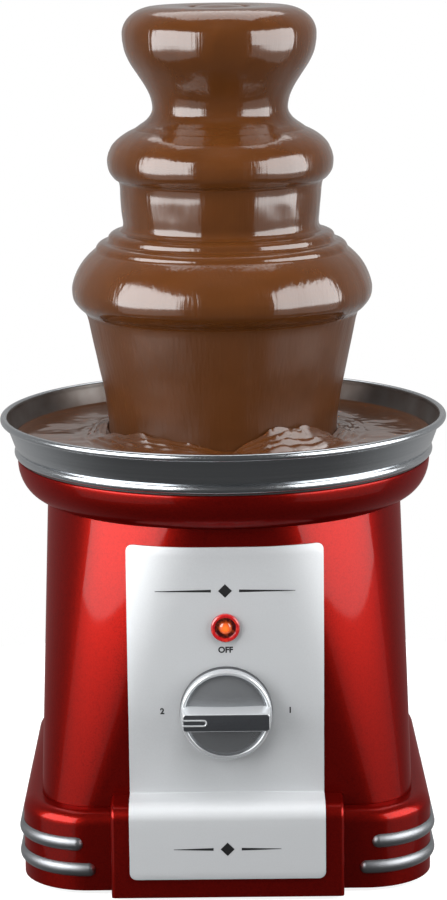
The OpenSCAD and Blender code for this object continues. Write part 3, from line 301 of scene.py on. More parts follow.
bm = bmesh.new()
plan_face(bm, *body_foot, segments=28)
plan_face(bm, *body_head, segments=28)
bmesh.ops.delete(bm, geom=bm.faces[:], context="FACES_ONLY")
bmesh.ops.bridge_loops(bm, edges=bm.edges[:])
given_wall(bm, housing_wall)
finished_piece(bm, "body_housing", red_lacquer, "base", ["body_shell"])

# Collar under the bowl.
# A flared ring moulded and lacquered like the body, which it joins to the bowl's seat.
collar_head = (92.5, 177.0)
collar_foot = (80.0, 160.1)
collar_land = 88.0
collar_edge = 0.8
collar_hollow = 13.5


def arc(centre, radii, start_deg, end_deg, steps):
    """Points of an elliptic arc as (radius, height) pairs."""
    angles = [math.radians(start_deg + (end_deg - start_deg) * i / steps) for i in range(steps + 1)]
    return [(centre[0] + radii[0] * math.cos(a), centre[1] + radii[1] * math.sin(a)) for a in angles]


def turned(points, steps=160):
    """A bmesh spun round the tower's axis from an outline of (radius, height) pairs."""
    bm = bmesh.new()
    verts = [bm.verts.new((r, 0, z)) for r, z in points]
    edges = [bm.edges.new(pair) for pair in zip(verts, verts[1:])]
    bmesh.ops.spin(bm, geom=verts + edges, cent=(0, 0, 0), axis=(0, 0, 1), angle=2 * math.pi,
                   steps=steps, use_merge=True)
    return bm


flare = arc((collar_foot[0], collar_head[1] - collar_edge),
            (collar_head[0] - collar_foot[0], collar_head[1] - collar_foot[1] - collar_edge), 0, -90, 20)
lip = arc((collar_head[0] - collar_edge, collar_head[1] - collar_edge), (collar_edge, collar_edge),
          90, 0, 4)
inner_r = collar_foot[0] - housing_wall
inner = arc((inner_r, flare[0][1]), (collar_land - inner_r, collar_hollow), -90, 0, 16)
bm = turned([(collar_land, collar_head[1])] + lip + flare[1:] + [(inner_r, collar_foot[1])]
            + inner + [(collar_land, collar_head[1])])
finished_piece(bm, "collar_ring", red_lacquer, "base", ["collar"])

# Front panel.
# Thin sheet with a satin silver coat, bent over the plinth and curved with the body above it.
# It lies on both, just clear of their lacquer.
panel_w = 84.0
panel_t = 0.9
panel_top = 152.0
panel_foot = 10.5
panel_corner = 3.0
panel_back = 0.1
panel_edge = 0.25
bend_round = 1.2
body_rows = 26
front_rows = 8


def body_plan(height):
    """Width, depth and corner radius of the body at a height."""
    share = (height - body_foot[3]) / (body_head[3] - body_foot[3])
    return [a + (b - a) * share for a, b in zip(body_foot[:3], body_head[:3])]


def body_front(x, height, out=0.0):
    """Place of the body's front face, moved out, at a point across it."""
    width, depth, corner = body_plan(height)
    side = max(0.0, abs(x) - (width / 2 - corner))
    return -(depth / 2 - corner + math.sqrt((corner + out) ** 2 - side ** 2))


plinth_top = skirt_z + plinth_size[2]
sheet_round = plinth_round + panel_back
sheet_front = plinth_front - panel_back
shelf_z = plinth_top + panel_back


def panel_line(x):
    """Points down the sheet's rear face at x: down the body, over the plinth and down its front."""
    inset = max(0.0, abs(x) - (panel_w / 2 - panel_corner))
    cut = panel_corner - math.sqrt(panel_corner ** 2 - inset ** 2)
    start = panel_top - cut
    end = panel_foot + cut
    down = [start + (shelf_z + bend_round - start) * i / body_rows for i in range(body_rows + 1)]
    line = [(body_front(x, z, panel_back), z) for z in down]
    foot_y = body_front(x, shelf_z, panel_back)
    line += [(foot_y - bend_round + y, shelf_z + bend_round + z)
             for y, z in arc((0, 0), (bend_round, bend_round), 0, -90, 5)[1:]]
    line += arc((sheet_front + sheet_round, shelf_z - sheet_round), (sheet_round, sheet_round), 90, 180, 10)
    front = line[-1][1]
    line += [(sheet_front, front + (end - front) * i / front_rows) for i in range(1, front_rows + 1)]
    return line


# A grid is laid along the bend and round the body, finer at the rounded corners
edge_columns = [panel_w / 2 - x for x in (0.0, 0.1, 0.4, 0.9, 1.6, 2.4, panel_corner)]
flat_half = panel_w / 2 - panel_corner
flat_columns = [-flat_half + 2 * flat_half * i / 36 for i in range(1, 36)]
columns = [-x for x in edge_columns] + flat_columns + edge_columns[::-1]
lines = [panel_line(x) for x in columns]
across, along = len(columns) - 1, len(lines[0]) - 1
bm = bmesh.new()
grid = bmesh.ops.create_grid(bm, x_segments=across, y_segments=along, size=0.5)["verts"]
for v in grid:
    column = round((v.co.x + 0.5) * across)
    row = round((0.5 - v.co.y) * along)
    v.co = (columns[column], *lines[column][row])

# Satin silver coat on sheet metal: pale grey with a fine even grain and a soft shine
panel_silver, shader = new_finish("satin_silver_coat", "a2a4a6", metallic=0.35, ior=1.5)
add_grain(panel_silver, shader, 0.6, 0.01, ("9ea0a2", "a6a8aa"), (0.4, 0.5))
panel = finished_piece(bm, "panel_sheet", panel_silver, "base", ["front_panel"])
sheet = panel.modifiers.new("sheet", "SOLIDIFY")
sheet.thickness = panel_t / 1000
sheet.offset = 1.0
soft = panel.modifiers.new("soft_edges", "BEVEL")
soft.width = panel_edge / 1000
soft.segments = 2
soft.limit_method = "ANGLE"

# Printed marks on the panel.
# Screen-printed in black: OFF over the knob, a number at each of its two other positions, and a plain
# rule with a lozenge above the lamp and on the plinth.
knob_z = 80.0
print_lift = 0.04

# Screen ink: flat black with a dry, even surface
ink, shader = new_finish("screen_print_ink", "08080a", ior=1.4)
add_grain(ink, shader, 0.5, 0.005, ("060607", "0d0d0f"), (0.5, 0.65))
letter_h = 2.6
capital_share = 0.72
stroke_gain = 0.13
marks = {"OFF": (0.0, 107.0), "1": (27.5, knob_z), "2": (-27.5, knob_z)}


def laid_on_panel(bm, x, height):
    """Moves a flat drawing in the XY plane to the panel's front at a place on it."""
    bmesh.ops.rotate(bm, verts=bm.verts, matrix=Matrix.Rotation(math.radians(90), 3, "X"))
    face = body_front(x, height, panel_back + panel_t) if height > shelf_z else sheet_front - panel_t
    bmesh.ops.translate(bm, verts=bm.verts, vec=(x, face - print_lift, height))
    bmesh.ops.remove_doubles(bm, verts=bm.verts, dist=0.0005)
    bmesh.ops.recalc_face_normals(bm, faces=bm.faces)
    bmesh.ops.solidify(bm, geom=bm.faces[:], thickness=print_lift)


for word, (x, height) in marks.items():
    drawing = bpy.data.curves.new("mark_" + word, "FONT")
    drawing.body = word
    drawing.size = letter_h / capital_share
    drawing.align_x = "CENTER"
    drawing.align_y = "CENTER"
    drawing.offset = stroke_gain
    lettering = bpy.data.objects.new("drawing", drawing)
    bpy.context.scene.collection.objects.link(lettering)
    shown = lettering.evaluated_get(bpy.context.evaluated_depsgraph_get())
    flat = bpy.data.meshes.new_from_object(shown)
    bm = bmesh.new()
    bm.from_mesh(flat)
    bpy.data.objects.remove(lettering)
    bpy.data.meshes.remove(flat)
    laid_on_panel(bm, x, height)
    finished_piece(bm, "mark_" + word, ink, "base")

# Rules as (height, length), which taper outwards
rules = {"upper": (133.0, 60.0), "plinth": (24.0, 46.0)}
rule_w = 1.2
rule_taper = 0.8
lozenge = 3.0
for name, (height, length) in rules.items():
    bm = bmesh.new()
    for side in (-1, 1):
        bar = bmesh.ops.create_grid(bm, x_segments=8, y_segments=1, size=0.5)["verts"]
        bar_l = length / 2 - 2 * lozenge
        bmesh.ops.scale(bm, vec=(bar_l, rule_w, 1), verts=bar)
        for v in bar:
            v.co.y *= 1 - rule_taper * max(0.0, side * v.co.x / bar_l + 0.5)
        bmesh.ops.translate(bm, vec=(side * (length / 4 + lozenge), 0, 0), verts=bar)
    bmesh.ops.create_circle(bm, segments=4, radius=lozenge, cap_ends=True)
    laid_on_panel(bm, 0.0, height)
    finished_piece(bm, "rule_" + name, ink, "base")

# Pilot lamp.
# A clear red moulded lens with a flange and a small dome, lit from behind by a neon bulb.
# Turned round its own axis, which points out of the panel.
pilot_z = 117.0
pilot_flange = 6.2
pilot_out = 2.2
flange_round = 0.9
dome_r = 2.9
ditch_z = 0.7
seat_gap = 0.05
face_y = body_front(0.0, pilot_z, panel_back + panel_t)


def turned_to_front(points, axis_z, face, steps=64):
    """A bmesh spun from (radius, distance out of the panel) pairs round an axis that points forward."""
    bm = turned(points, steps)
    bmesh.ops.rotate(bm, verts=bm.verts, matrix=Matrix.Rotation(math.radians(90), 3, "X"))
    bmesh.ops.translate(bm, verts=bm.verts, vec=(0, face, axis_z))
    return bm


# Clear red moulding that glows in its middle: orange at the heart and deep red at the rim; the ditch round
# the dome is painted dark, a painted shade in the recess
heart_mm = (0.6, 3.1)
flange_mm = (4.2, 4.7)
lens_red, shader = new_finish("lit_red_lens", "b3120a", roughness=0.12, ior=1.49, coat_weight=0.6,
                              emission_strength=1.6)
place = add_node(lens_red, "ShaderNodeTexCoord", {}, {})
centred = add_node(lens_red, "ShaderNodeVectorMath",
                   {"operation": "SUBTRACT", 1: (0, face_y / 1000, pilot_z / 1000)},
                   {0: place.outputs["Object"]})
flat = add_node(lens_red, "ShaderNodeVectorMath", {"operation": "MULTIPLY", 1: (1, 0, 1)},
                {0: centred.outputs[0]})
reach = add_node(lens_red, "ShaderNodeVectorMath", {"operation": "LENGTH"}, {0: flat.outputs[0]})
glow = add_node(lens_red, "ShaderNodeMapRange",
                {"From Min": heart_mm[0] / 1000, "From Max": heart_mm[1] / 1000,
                 "To Min": -0.25, "To Max": 0.75}, {"Value": reach.outputs["Value"]})
flicker = add_node(lens_red, "ShaderNodeTexNoise", {"Scale": 1000 / 1.6, "Detail": 2.0},
                   {"Vector": place.outputs["Object"]})
stir = add_node(lens_red, "ShaderNodeMath", {"operation": "MULTIPLY_ADD", 1: 0.5},
                {0: flicker.outputs["Fac"], 2: glow.outputs["Result"]})
warm = add_node(lens_red, "ShaderNodeMix", {"data_type": "RGBA", 6: linear("ff6e28"), 7: linear("140000")},
                {0: stir.outputs[0]})
# The ditch is painted darker than the flange, a painted shade in the recess.
ditch = add_node(lens_red, "ShaderNodeMapRange",
                 {"interpolation_type": "SMOOTHSTEP", "From Min": flange_mm[0] / 1000,
                  "From Max": flange_mm[1] / 1000}, {"Value": reach.outputs["Value"]})
shade = add_node(lens_red, "ShaderNodeMix", {"data_type": "RGBA", 6: linear("2c0405"), 7: linear("8c1014")},
                 {0: ditch.outputs["Result"]})
lens_red.node_tree.links.new(warm.outputs[2], shader.inputs["Emission Color"])
lens_red.node_tree.links.new(shade.outputs[2], shader.inputs["Base Color"])

ring = arc((pilot_flange - flange_round, pilot_out - flange_round), (flange_round, flange_round), 0, 90, 5)
hollow = [(4.7, pilot_out - 0.2), (4.4, ditch_z), (dome_r + 0.1, ditch_z - 0.1)]
dome = arc((0.0, ditch_z), (dome_r, pilot_out - ditch_z), 0, 90, 8)
bm = turned_to_front([(0.0, seat_gap), (pilot_flange, seat_gap)] + ring + hollow + dome, pilot_z, face_y)
finished_piece(bm, "pilot_cap", lens_red, "base", ["pilot_lens"])
dress(lens_red, "pilot_bulb")

# Knob of the switch.
# Moulded with a satin metal coat and pushed on the switch shaft: a slightly domed disc with a bright rim,
# and a grip bar across it with a pointer line at its left end.
knob_r = 20.0
knob_back = body_front(0.0, knob_z - knob_r, panel_back + panel_t) - 0.4
knob_rim = 7.0
knob_edge = 1.0
knob_face = 5.4
knob_len = 17.6
face_r = knob_r - 3.0
face_dome = 1.6
bar_w = 8.0
bar_end = 19.5
bar_corner = 1.4
bar_edge = 0.5
bar_taper = (0.95, 0.96)
pointer_len = 11.0
pointer_w = 2.4
pointer_line = 0.42

# Satin metal coat with a fine turned grain: mid grey that takes a soft shade from edge to edge
knob_silver, shader = new_finish("satin_metal_coat", "8f9295", metallic=0.8)
add_grain(knob_silver, shader, 1.5, 0.002, ("8b8e91", "949699"), (0.22, 0.28))

rim = arc((knob_r - 1.4, knob_rim - knob_edge), (knob_edge, knob_edge), 0, 180, 8)
face = [(r, knob_face + face_dome * math.cos(math.pi / 2 * r / face_r))
        for r in (15, 13, 11, 9, 7, 5, 3, 1.5, 0)]
bm = turned_to_front([(0.0, 0.0), (knob_r, 0.0), (knob_r - 0.3, 3.0)] + rim + [(face_r, knob_face)] + face,
                     knob_z, knob_back, 96)
# From this radius out the rim is painted paler, a painted highlight.
painted_highlight_from = knob_r - 2.0
# From this radius out the disc's outer wall is painted dark, a painted shade of the gap behind the knob.
painted_gap_shade_from = knob_r - 0.35
for f in bm.faces:
    reach = math.hypot(f.calc_center_median().x, f.calc_center_median().z - knob_z)
    f.material_index = int(reach > painted_highlight_from) + int(reach > painted_gap_shade_from)
disc = finished_piece(bm, "knob_disc", knob_silver, "knob", ["knob"])
# Paler, brighter coat: a painted highlight on the disc's rim and on every face of the grip but its front,
# where light catches them; the pointer line is drawn in it as a pale mark
pointer_mark_and_painted_highlight, shader = new_finish("pale_pointer_and_painted_highlight", "b4b6b9", metallic=0.6)
add_grain(pointer_mark_and_painted_highlight, shader, 1.0, 0.002, ("aeb1b4", "babdbf"), (0.2, 0.28))
disc.data.materials.append(pointer_mark_and_painted_highlight)
# Dark satin coat on the grip's front; on the disc's outer wall it is a painted shade, the shadow in the gap
# between knob and panel
dark_front_and_painted_gap_shade, shader = new_finish("dark_grip_front_and_painted_gap_shade", "2c2e31", metallic=0.3)
add_grain(dark_front_and_painted_gap_shade, shader, 1.0, 0.002, ("28292c", "313336"), (0.3, 0.4))
disc.data.materials.append(dark_front_and_painted_gap_shade)

bm = bmesh.new()
bar = bmesh.ops.create_cube(bm, size=1.0)["verts"]
bar_len = knob_len - knob_face + 1.0
bar_front = knob_back - knob_len
bmesh.ops.scale(bm, vec=(2 * bar_end, bar_len, bar_w), verts=bar)
bmesh.ops.translate(bm, vec=(0, bar_front + bar_len / 2, knob_z), verts=bar)
uprights = [e for e in bm.edges if abs(e.verts[0].co.y - e.verts[1].co.y) > 1]
bmesh.ops.bevel(bm, geom=uprights, offset=bar_corner, segments=6, profile=0.5, affect="EDGES", material=-1)
for v in bm.verts:
    if v.co.y < bar_front + 1:
        v.co.x *= bar_taper[0]
        v.co.z = knob_z + (v.co.z - knob_z) * bar_taper[1]
crest = [e for e in bm.edges if all(v.co.y < bar_front + 1 for v in e.verts)]
bmesh.ops.bevel(bm, geom=crest, offset=bar_edge, segments=4, profile=0.5, affect="EDGES", material=-1)
# Every face of the grip but its front takes the paler coat, a painted highlight; the front takes the dark
# coat.
for f in bm.faces:
    f.material_index = int(min(v.co.y for v in f.verts) < bar_front + 0.05 and f.normal.y < -0.9)
grip = finished_piece(bm, "knob_grip", pointer_mark_and_painted_highlight, "knob")
grip.data.materials.append(dark_front_and_painted_gap_shade)

bm = bmesh.new()
pointer_r = pointer_w / 2
loop = [(-bar_end + 0.8, pointer_r), (-bar_end + pointer_len - pointer_r, pointer_r)]
turn = arc((-bar_end + pointer_len - pointer_r, 0), (pointer_r, pointer_r), 90, -90, 8)
path = loop + turn[1:-1] + [(x, -z) for x, z in reversed(loop)]
groove = bpy.data.curves.new("pointer_line", "CURVE")
groove.dimensions = "3D"
groove.bevel_depth = pointer_line
groove.bevel_resolution = 2
groove.use_fill_caps = True
spline = groove.splines.new("POLY")
spline.points.add(len(path) - 1)
for point, (x, z) in zip(spline.points, path):
    point.co = (x, bar_front, knob_z + z, 1)
wire = bpy.data.objects.new("drawing", groove)
bpy.context.scene.collection.objects.link(wire)
drawn = bpy.data.meshes.new_from_object(wire.evaluated_get(bpy.context.evaluated_depsgraph_get()))
bm.from_mesh(drawn)
bpy.data.objects.remove(wire)
bpy.data.meshes.remove(drawn)
finished_piece(bm, "knob_pointer", pointer_mark_and_painted_highlight, "knob")

# Gasket and bowl.
# The bowl is spun from stainless sheet with a rolled edge and a bead at its foot, and sits on a black
# gasket. Three pins in its bed stop the tower from turning.
dress(black_rubber, "bowl_gasket", "shaft_seal")
dress(brass, "shaft_bush")
rim_r = 100.0
rim_z = 194.5
roll_r = 1.6
seat_z = 177.7
seat_r = 92.5
bead_r = 2.1
bowl_sheet = 0.8
floor_z = 164.7
floor_r = 68.0
bowl_hole = 6.0
wall_rise = 4.6
pin_ring = 20.0
pin_r = (1.6, 1.4)
pin_h = 5.0
pin_sunk = 0.3
smear_r = 93.1
smear_slope = 0.36


def smooth_line(points, steps=6):
    """Points of a smooth curve through the given (radius, height) pairs."""
    ends = [points[0], *points, points[-1]]
    line = []
    for a, b, c, d in zip(ends, ends[1:], ends[2:], ends[3:]):
        a, b, c, d = (Vector(p) for p in (a, b, c, d))
        for i in range(steps):
            t = i / steps
            line.append(tuple(0.5 * (2 * b + (c - a) * t + (2 * a - 5 * b + 4 * c - d) * t ** 2
                                     + (3 * b - a - 3 * c + d) * t ** 3)))
    return line + [points[-1]]


# Stainless steel, spun and polished: bright with faint rings from the lathe, 1 mm apart so that they show
bowl_steel, shader = new_finish("spun_stainless_steel", "b4b8bc", metallic=1.0, anisotropic=0.3)
ring_mm = 1.0
place = add_node(bowl_steel, "ShaderNodeTexCoord", {}, {})
flat = add_node(bowl_steel, "ShaderNodeVectorMath", {"operation": "MULTIPLY", 1: (1, 1, 0)},
                {0: place.outputs["Object"]})
reach = add_node(bowl_steel, "ShaderNodeVectorMath", {"operation": "LENGTH"}, {0: flat.outputs[0]})
rings = add_node(bowl_steel, "ShaderNodeTexNoise",
                 {"noise_dimensions": "1D", "Scale": 1000 / ring_mm, "Detail": 2.0},
                 {"W": reach.outputs["Value"]})
level = add_node(bowl_steel, "ShaderNodeMapRange", {"To Min": 0.16, "To Max": 0.26},
                 {"Value": rings.outputs["Fac"]})
tint = add_node(bowl_steel, "ShaderNodeMix",
                {"data_type": "RGBA", 6: linear("aaaeb2"), 7: linear("bfc2c5")},
                {0: rings.outputs["Fac"]})
bowl_steel.node_tree.links.new(level.outputs["Result"], shader.inputs["Roughness"])
bowl_steel.node_tree.links.new(tint.outputs[2], shader.inputs["Base Color"])

outside = ([(bowl_hole, floor_z), (floor_r - 2, floor_z)]
           + smooth_line([(floor_r, floor_z), (79.0, floor_z + 2.2), (86.0, floor_z + 6.5),
                          (seat_r - 3.4, seat_z)])
           + arc((seat_r - 0.7, seat_z + bead_r), (bead_r, bead_r), -90, 60, 10)
           + [(seat_r + 1.0, seat_z + wall_rise)])
wall_foot = outside[-1]
wall_head = (rim_r - roll_r - 0.9, rim_z - 1.1)
outside += [(wall_foot[0] + (wall_head[0] - wall_foot[0]) * i / 4,
             wall_foot[1] + (wall_head[1] - wall_foot[1]) * i / 4) for i in range(1, 5)]
roll = arc((rim_r - roll_r, rim_z), (roll_r, roll_r), -100, 190, 18)
inside = ([(wall_head[0] - bowl_sheet, wall_head[1]), (wall_foot[0] - bowl_sheet, wall_foot[1] - 1.0)]
          + [(seat_r - 3.0, seat_z + 1.0), (84.5, floor_z + 7.3), (78.5, floor_z + 3.1),
             (floor_r, floor_z + bowl_sheet), (bowl_hole, floor_z + bowl_sheet), (bowl_hole, floor_z)])
bm = turned(outside + roll + inside, 200)
for angle in (90, 210, 330):
    pin = bmesh.ops.create_cone(bm, cap_ends=True, segments=24, radius1=pin_r[0], radius2=pin_r[1],
                                depth=pin_h)["verts"]
    spot = Matrix.Rotation(math.radians(angle), 4, "Z") @ Vector(
        (pin_ring, 0, floor_z + bowl_sheet + pin_h / 2 - pin_sunk))
    bmesh.ops.translate(bm, vec=spot, verts=pin)
bm.normal_update()
for f in bm.faces:
    spot = f.calc_center_median()
    reach = math.hypot(spot.x, spot.y)
    deep = reach < wall_head[0] - 0.3 and spot.z > seat_z + 1.5
    f.material_index = int(deep and reach < smear_r + (spot.z - seat_z - wall_rise) * smear_slope)
bowl = finished_piece(bm, "bowl_spun", bowl_steel, "base", ["bowl"])
# Steel with a thin smear of chocolate, left by the flow as it settled: dull and brownish
smeared_steel, shader = new_finish("smeared_steel", "5f5a57", metallic=0.8)
add_grain(smeared_steel, shader, 14.0, 0.02, ("6d6a68", "4b3a30"), (0.3, 0.5))
bowl.data.materials.append(smeared_steel)

# Tower stem, tiers and auger.
# The stem and the auger are moulded in natural nylon; the tiers are pressed in stainless sheet and drop
# over the stem.

# Stainless sheet, pressed and polished: bright, with a soft even grain
tier_steel, shader = new_finish("pressed_stainless_steel", "b0b4b8", metallic=1.0)
add_grain(tier_steel, shader, 1.5, 0.02, ("a6aaae", "bcbfc2"), (0.2, 0.32))
dress(nylon, "tower_stem", "auger")
dress(tier_steel, "lower_tier", "middle_tier", "crown")

# Chocolate in the bowl.
# Warm milk chocolate, level a little below the rim, with folds and a low mound where the curtain lands.
pool_z = 186.5
pool_in = 23.4
pool_out = 93.6
curtain_foot = 51.5
pool_underside = [(91.0, 182.0), (86.0, 173.0), (70.0, 166.2)]
# Folds as (middle in degrees, half spread in degrees, height), the high arch to the right of the front
folds = [(-56.0, 30.0, 11.0), (-128.0, 42.0, 6.5), (-12.0, 24.0, 2.5), (70.0, 45.0, 4.0),
         (165.0, 40.0, 4.0)]
fold_reach = 11.0
ropes = 4
rope_step = 2.3
ring_step = 6.0

# Milk chocolate, warm and fluid: opaque brown with a wet gloss and a faint marbling
chocolate, shader = new_finish("warm_milk_chocolate", "42230b", ior=1.5, subsurface_weight=0.05,
                               subsurface_scale=0.004, coat_weight=0.35, coat_roughness=0.08)
shader.inputs["Subsurface Radius"].default_value = (1.0, 0.5, 0.25)
marble_mm = 30.0
place = add_node(chocolate, "ShaderNodeTexCoord", {}, {})
marble = add_node(chocolate, "ShaderNodeTexNoise",
                  {"Scale": 1000 / marble_mm, "Detail": 4.0, "Distortion": 1.5},
                  {"Vector": place.outputs["Object"]})
tint = add_node(chocolate, "ShaderNodeMix",
                {"data_type": "RGBA", 6: linear("391e0a"), 7: linear("47260d")},
                {0: marble.outputs["Fac"]})
level = add_node(chocolate, "ShaderNodeMapRange", {"To Min": 0.1, "To Max": 0.2},
                 {"Value": marble.outputs["Fac"]})
chocolate.node_tree.links.new(tint.outputs[2], shader.inputs["Base Color"])
chocolate.node_tree.links.new(level.outputs["Result"], shader.inputs["Roughness"])


def dulled(material, name, roughness):
    """A copy of a finish without its clear gloss, whose roughness lies between two values."""
    copy = material.copy()
    copy.name = name
    shader = copy.node_tree.nodes["Principled BSDF"]
    shader.inputs["Coat Weight"].default_value = 0.0
    level = shader.inputs["Roughness"].links[0].from_node
    level.inputs["To Min"].default_value, level.inputs["To Max"].default_value = roughness
    return copy


def ruffle(place, size, layer):
    """A smooth random value between about -1 and 1, with swells of the given size in plan."""
    return noise.noise(Vector((place.x / size, place.y / size, layer)))


def near(value, centre, width):
    """A smooth bump of height one about a centre."""
    return math.exp(-((value - centre) / width) ** 2)


def turn_from(angle, centre):
    """Angle from a centre, between -180 and 180 degrees."""
    return (angle - centre + 180) % 360 - 180


rings = [pool_in, 30.0, 40.0, 48.0] + [curtain_foot + 0.35 * i for i in range(40)]
rings += [rings[-1] + (pool_out - rings[-1]) * i / 24 for i in range(1, 25)]
pool_foot = (pool_in, floor_z + 1.0)
bm = turned([pool_foot] + [(r, pool_z) for r in rings] + pool_underside + [pool_foot], 440)
for v in bm.verts:
    r = math.hypot(v.co.x, v.co.y)
    if v.co.z > pool_z - 0.1 and r > curtain_foot - 0.1:
        angle = math.degrees(math.atan2(v.co.y, v.co.x))
        out = r - curtain_foot
        drift = ruffle(v.co, 16, 3.0)
        rise = 0.9 * near(out, 0.5 + drift, 2.2)
        rise += 0.45 * math.cos(2 * math.pi * (out + 3 * drift) / ring_step) * near(out, 6, 8)
        for middle, spread, height in folds:
            t = min(1.0, abs(turn_from(angle, middle)) / spread)
            crest = height * (1 - t * t) ** 0.8
            line = 0.4 + 3.0 * t * t + 1.2 * drift
            rise = max(rise, crest * (0.8 - max(0.0, out - line) / fold_reach))
            for k in range(ropes):
                coil = 0.98 - 0.21 * k + 0.24 * ruffle(v.co, 8, 5.0 * k)
                rise = max(rise, crest * coil * near(out, line + rope_step * k, 1.0 + 0.15 * k))
        swell = 0.6 * ruffle(v.co, 18, 9.0)
        edge = 1.1 * near(r, pool_out, 1.6)
        ripple = 0.16 * ruffle(v.co, 5, 4.0)
        v.co.z += rise + (swell + ripple) * min(1.0, (pool_out - r) / 12) + edge
bmesh.ops.smooth_vert(bm, verts=[v for v in bm.verts if pool_z - 0.5 < v.co.z], factor=0.5,
                      use_axis_x=False, use_axis_y=False, use_axis_z=True)
pool = finished_piece(bm, "chocolate_in_bowl", chocolate, "base", ["chocolate_pool"], 80)
# Folds that the flow has just laid down: still wrinkled, so their gloss is duller than the level pool's
pool.data.materials.append(dulled(chocolate, "folded_milk_chocolate", (0.22, 0.32)))
fold_z = (pool_z + 1.6) / 1000
fold_r = (curtain_foot + 18.0) / 1000
for face in pool.data.polygons:
    face.material_index = int(face.center.z > fold_z and math.hypot(*face.center.xy) < fold_r)

# Falling chocolate over the lower tier.
# A film that runs over the dome, gathers in a rounded lip and falls as a closed curtain into the bowl.

# Chocolate on the move: the same gloss, drawn out into fine streaks down its fall
falling = chocolate.copy()
falling.name = "falling_milk_chocolate"
streak_mm = (1.6, 45.0)
place = add_node(falling, "ShaderNodeTexCoord", {}, {})
drawn = add_node(falling, "ShaderNodeMapping",
                 {"Scale": (1000 / streak_mm[0], 1000 / streak_mm[0], 1000 / streak_mm[1])},
                 {"Vector": place.outputs["Object"]})
streaks = add_node(falling, "ShaderNodeTexNoise", {"Scale": 1.0, "Detail": 1.0},
                   {"Vector": drawn.outputs["Vector"]})
relief = add_node(falling, "ShaderNodeBump", {"Strength": 0.6, "Distance": 0.0002},
                  {"Height": streaks.outputs["Fac"]})
shader = falling.node_tree.nodes["Principled BSDF"]
falling.node_tree.links.new(relief.outputs["Normal"], shader.inputs["Normal"])


def flowing(points, name, replaced, streak, steps=256):
    """Chocolate turned from its outline, with slow waves round it and fine streaks down its curtain."""
    # Waves as (number round the tower, height, depth)
    waves = [(1.6, 30, 0.35), (4, 14, 0.3), (9, 60, streak)]
    full_r = 40
    bm = turned(points, steps)
    for v in bm.verts:
        r = math.hypot(v.co.x, v.co.y)
        if r < 1:
            continue
        around = Vector((v.co.x, v.co.y, 0)) / r
        push = sum(depth * noise.noise(Vector((around.x * number, around.y * number, v.co.z / height)))
                   for number, height, depth in waves)
        v.co += around * push * min(1.0, r / full_r)
    return finished_piece(bm, name, falling, "tower", replaced, 80)


# Tiers as (hub radius, rim radius, height of the rim, height of the dome)
lower_tier = (18.5, 63.6, 251.2, 27.0)
lower_in = 38.9
film = 3.3
film_gap = 0.4
dome_end_deg = 72


def film_line(tier, start, thickness, steps=24):
    """Outline of a film that lies on a domed tier, from a radius to where the tier turns down."""
    hub, rim, foot, dome = tier
    first = math.asin((start - hub) / (rim - hub))
    line = []
    for i in range(steps + 1):
        a = first + (math.radians(dome_end_deg) - first) * i / steps
        side = Vector((dome * math.sin(a), (rim - hub) * math.cos(a))).normalized()
        spot = Vector((hub + (rim - hub) * math.sin(a), foot + dome * math.cos(a)))
        line.append(tuple(spot + side * thickness))
    return line


lower = smooth_line([(lower_in, 279.0), (43.0, 278.6), (46.0, 278.0), (48.2, 277.4), (49.8, 276.2),
                     (50.4, 274.4), (51.2, 273.6), (53.6, 273.0), (55.4, 271.6), (56.2, 269.8),
                     (57.4, 268.8), (60.0, 266.4), (62.6, 263.2), (64.8, 259.2), (66.3, 255.2),
                     (66.8, 252.0), (66.2, 248.0), (63.8, 244.6), (61.2, 242.2), (60.0, 239.4),
                     (59.0, 235.0), (57.2, 226.0), (54.8, 215.0), (52.6, 203.0), (51.4, 194.0),
                     (51.2, 189.0), (51.4, 186.2)])
lower_inside = [(49.0, 186.2), (49.2, 194.0), (52.6, 215.0), (57.4, 236.0), (61.6, 244.0), (64.1, 251.2)]
lower_inside += film_line(lower_tier, lower_in, film_gap)[::-1]
curtain = flowing(lower + lower_inside + [lower[0]], "chocolate_curtain_lower", ["chocolate_lower"], 0.16)
# Where the flow falls free it thins to a sheet full of fine wrinkles, which dull its gloss
curtain.data.materials.append(dulled(falling, "thin_falling_chocolate", (0.26, 0.36)))
lip_z = 241.8 / 1000
for face in curtain.data.polygons:
    face.material_index = int(face.center.z < lip_z)

# Falling chocolate over the middle tier.
# The same flow on a smaller dome; its curtain lands on the lower tier in three soft rings.
middle_tier = (17.5, 46.8, 309.2, 14.0)
middle_in = 26.4
middle = (film_line(middle_tier, middle_in, film)
          + smooth_line([(49.4, 312.6), (50.1, 309.2), (49.5, 304.8), (47.4, 301.6), (45.4, 300.0),
                         (44.7, 297.4), (44.4, 293.0), (43.8, 286.0), (43.3, 281.6), (43.7, 279.6),
                         (44.9, 278.4), (46.4, 276.6), (46.6, 274.0)]))
middle_inside = [(41.6, 275.4), (41.6, 286.0), (42.8, 297.4), (45.8, 304.0), (47.2, 309.2)]
middle_inside += film_line(middle_tier, middle_in, film_gap)[::-1]
flowing(middle + middle_inside + [middle[0]], "chocolate_curtain_middle", ["chocolate_middle"], 0.1)

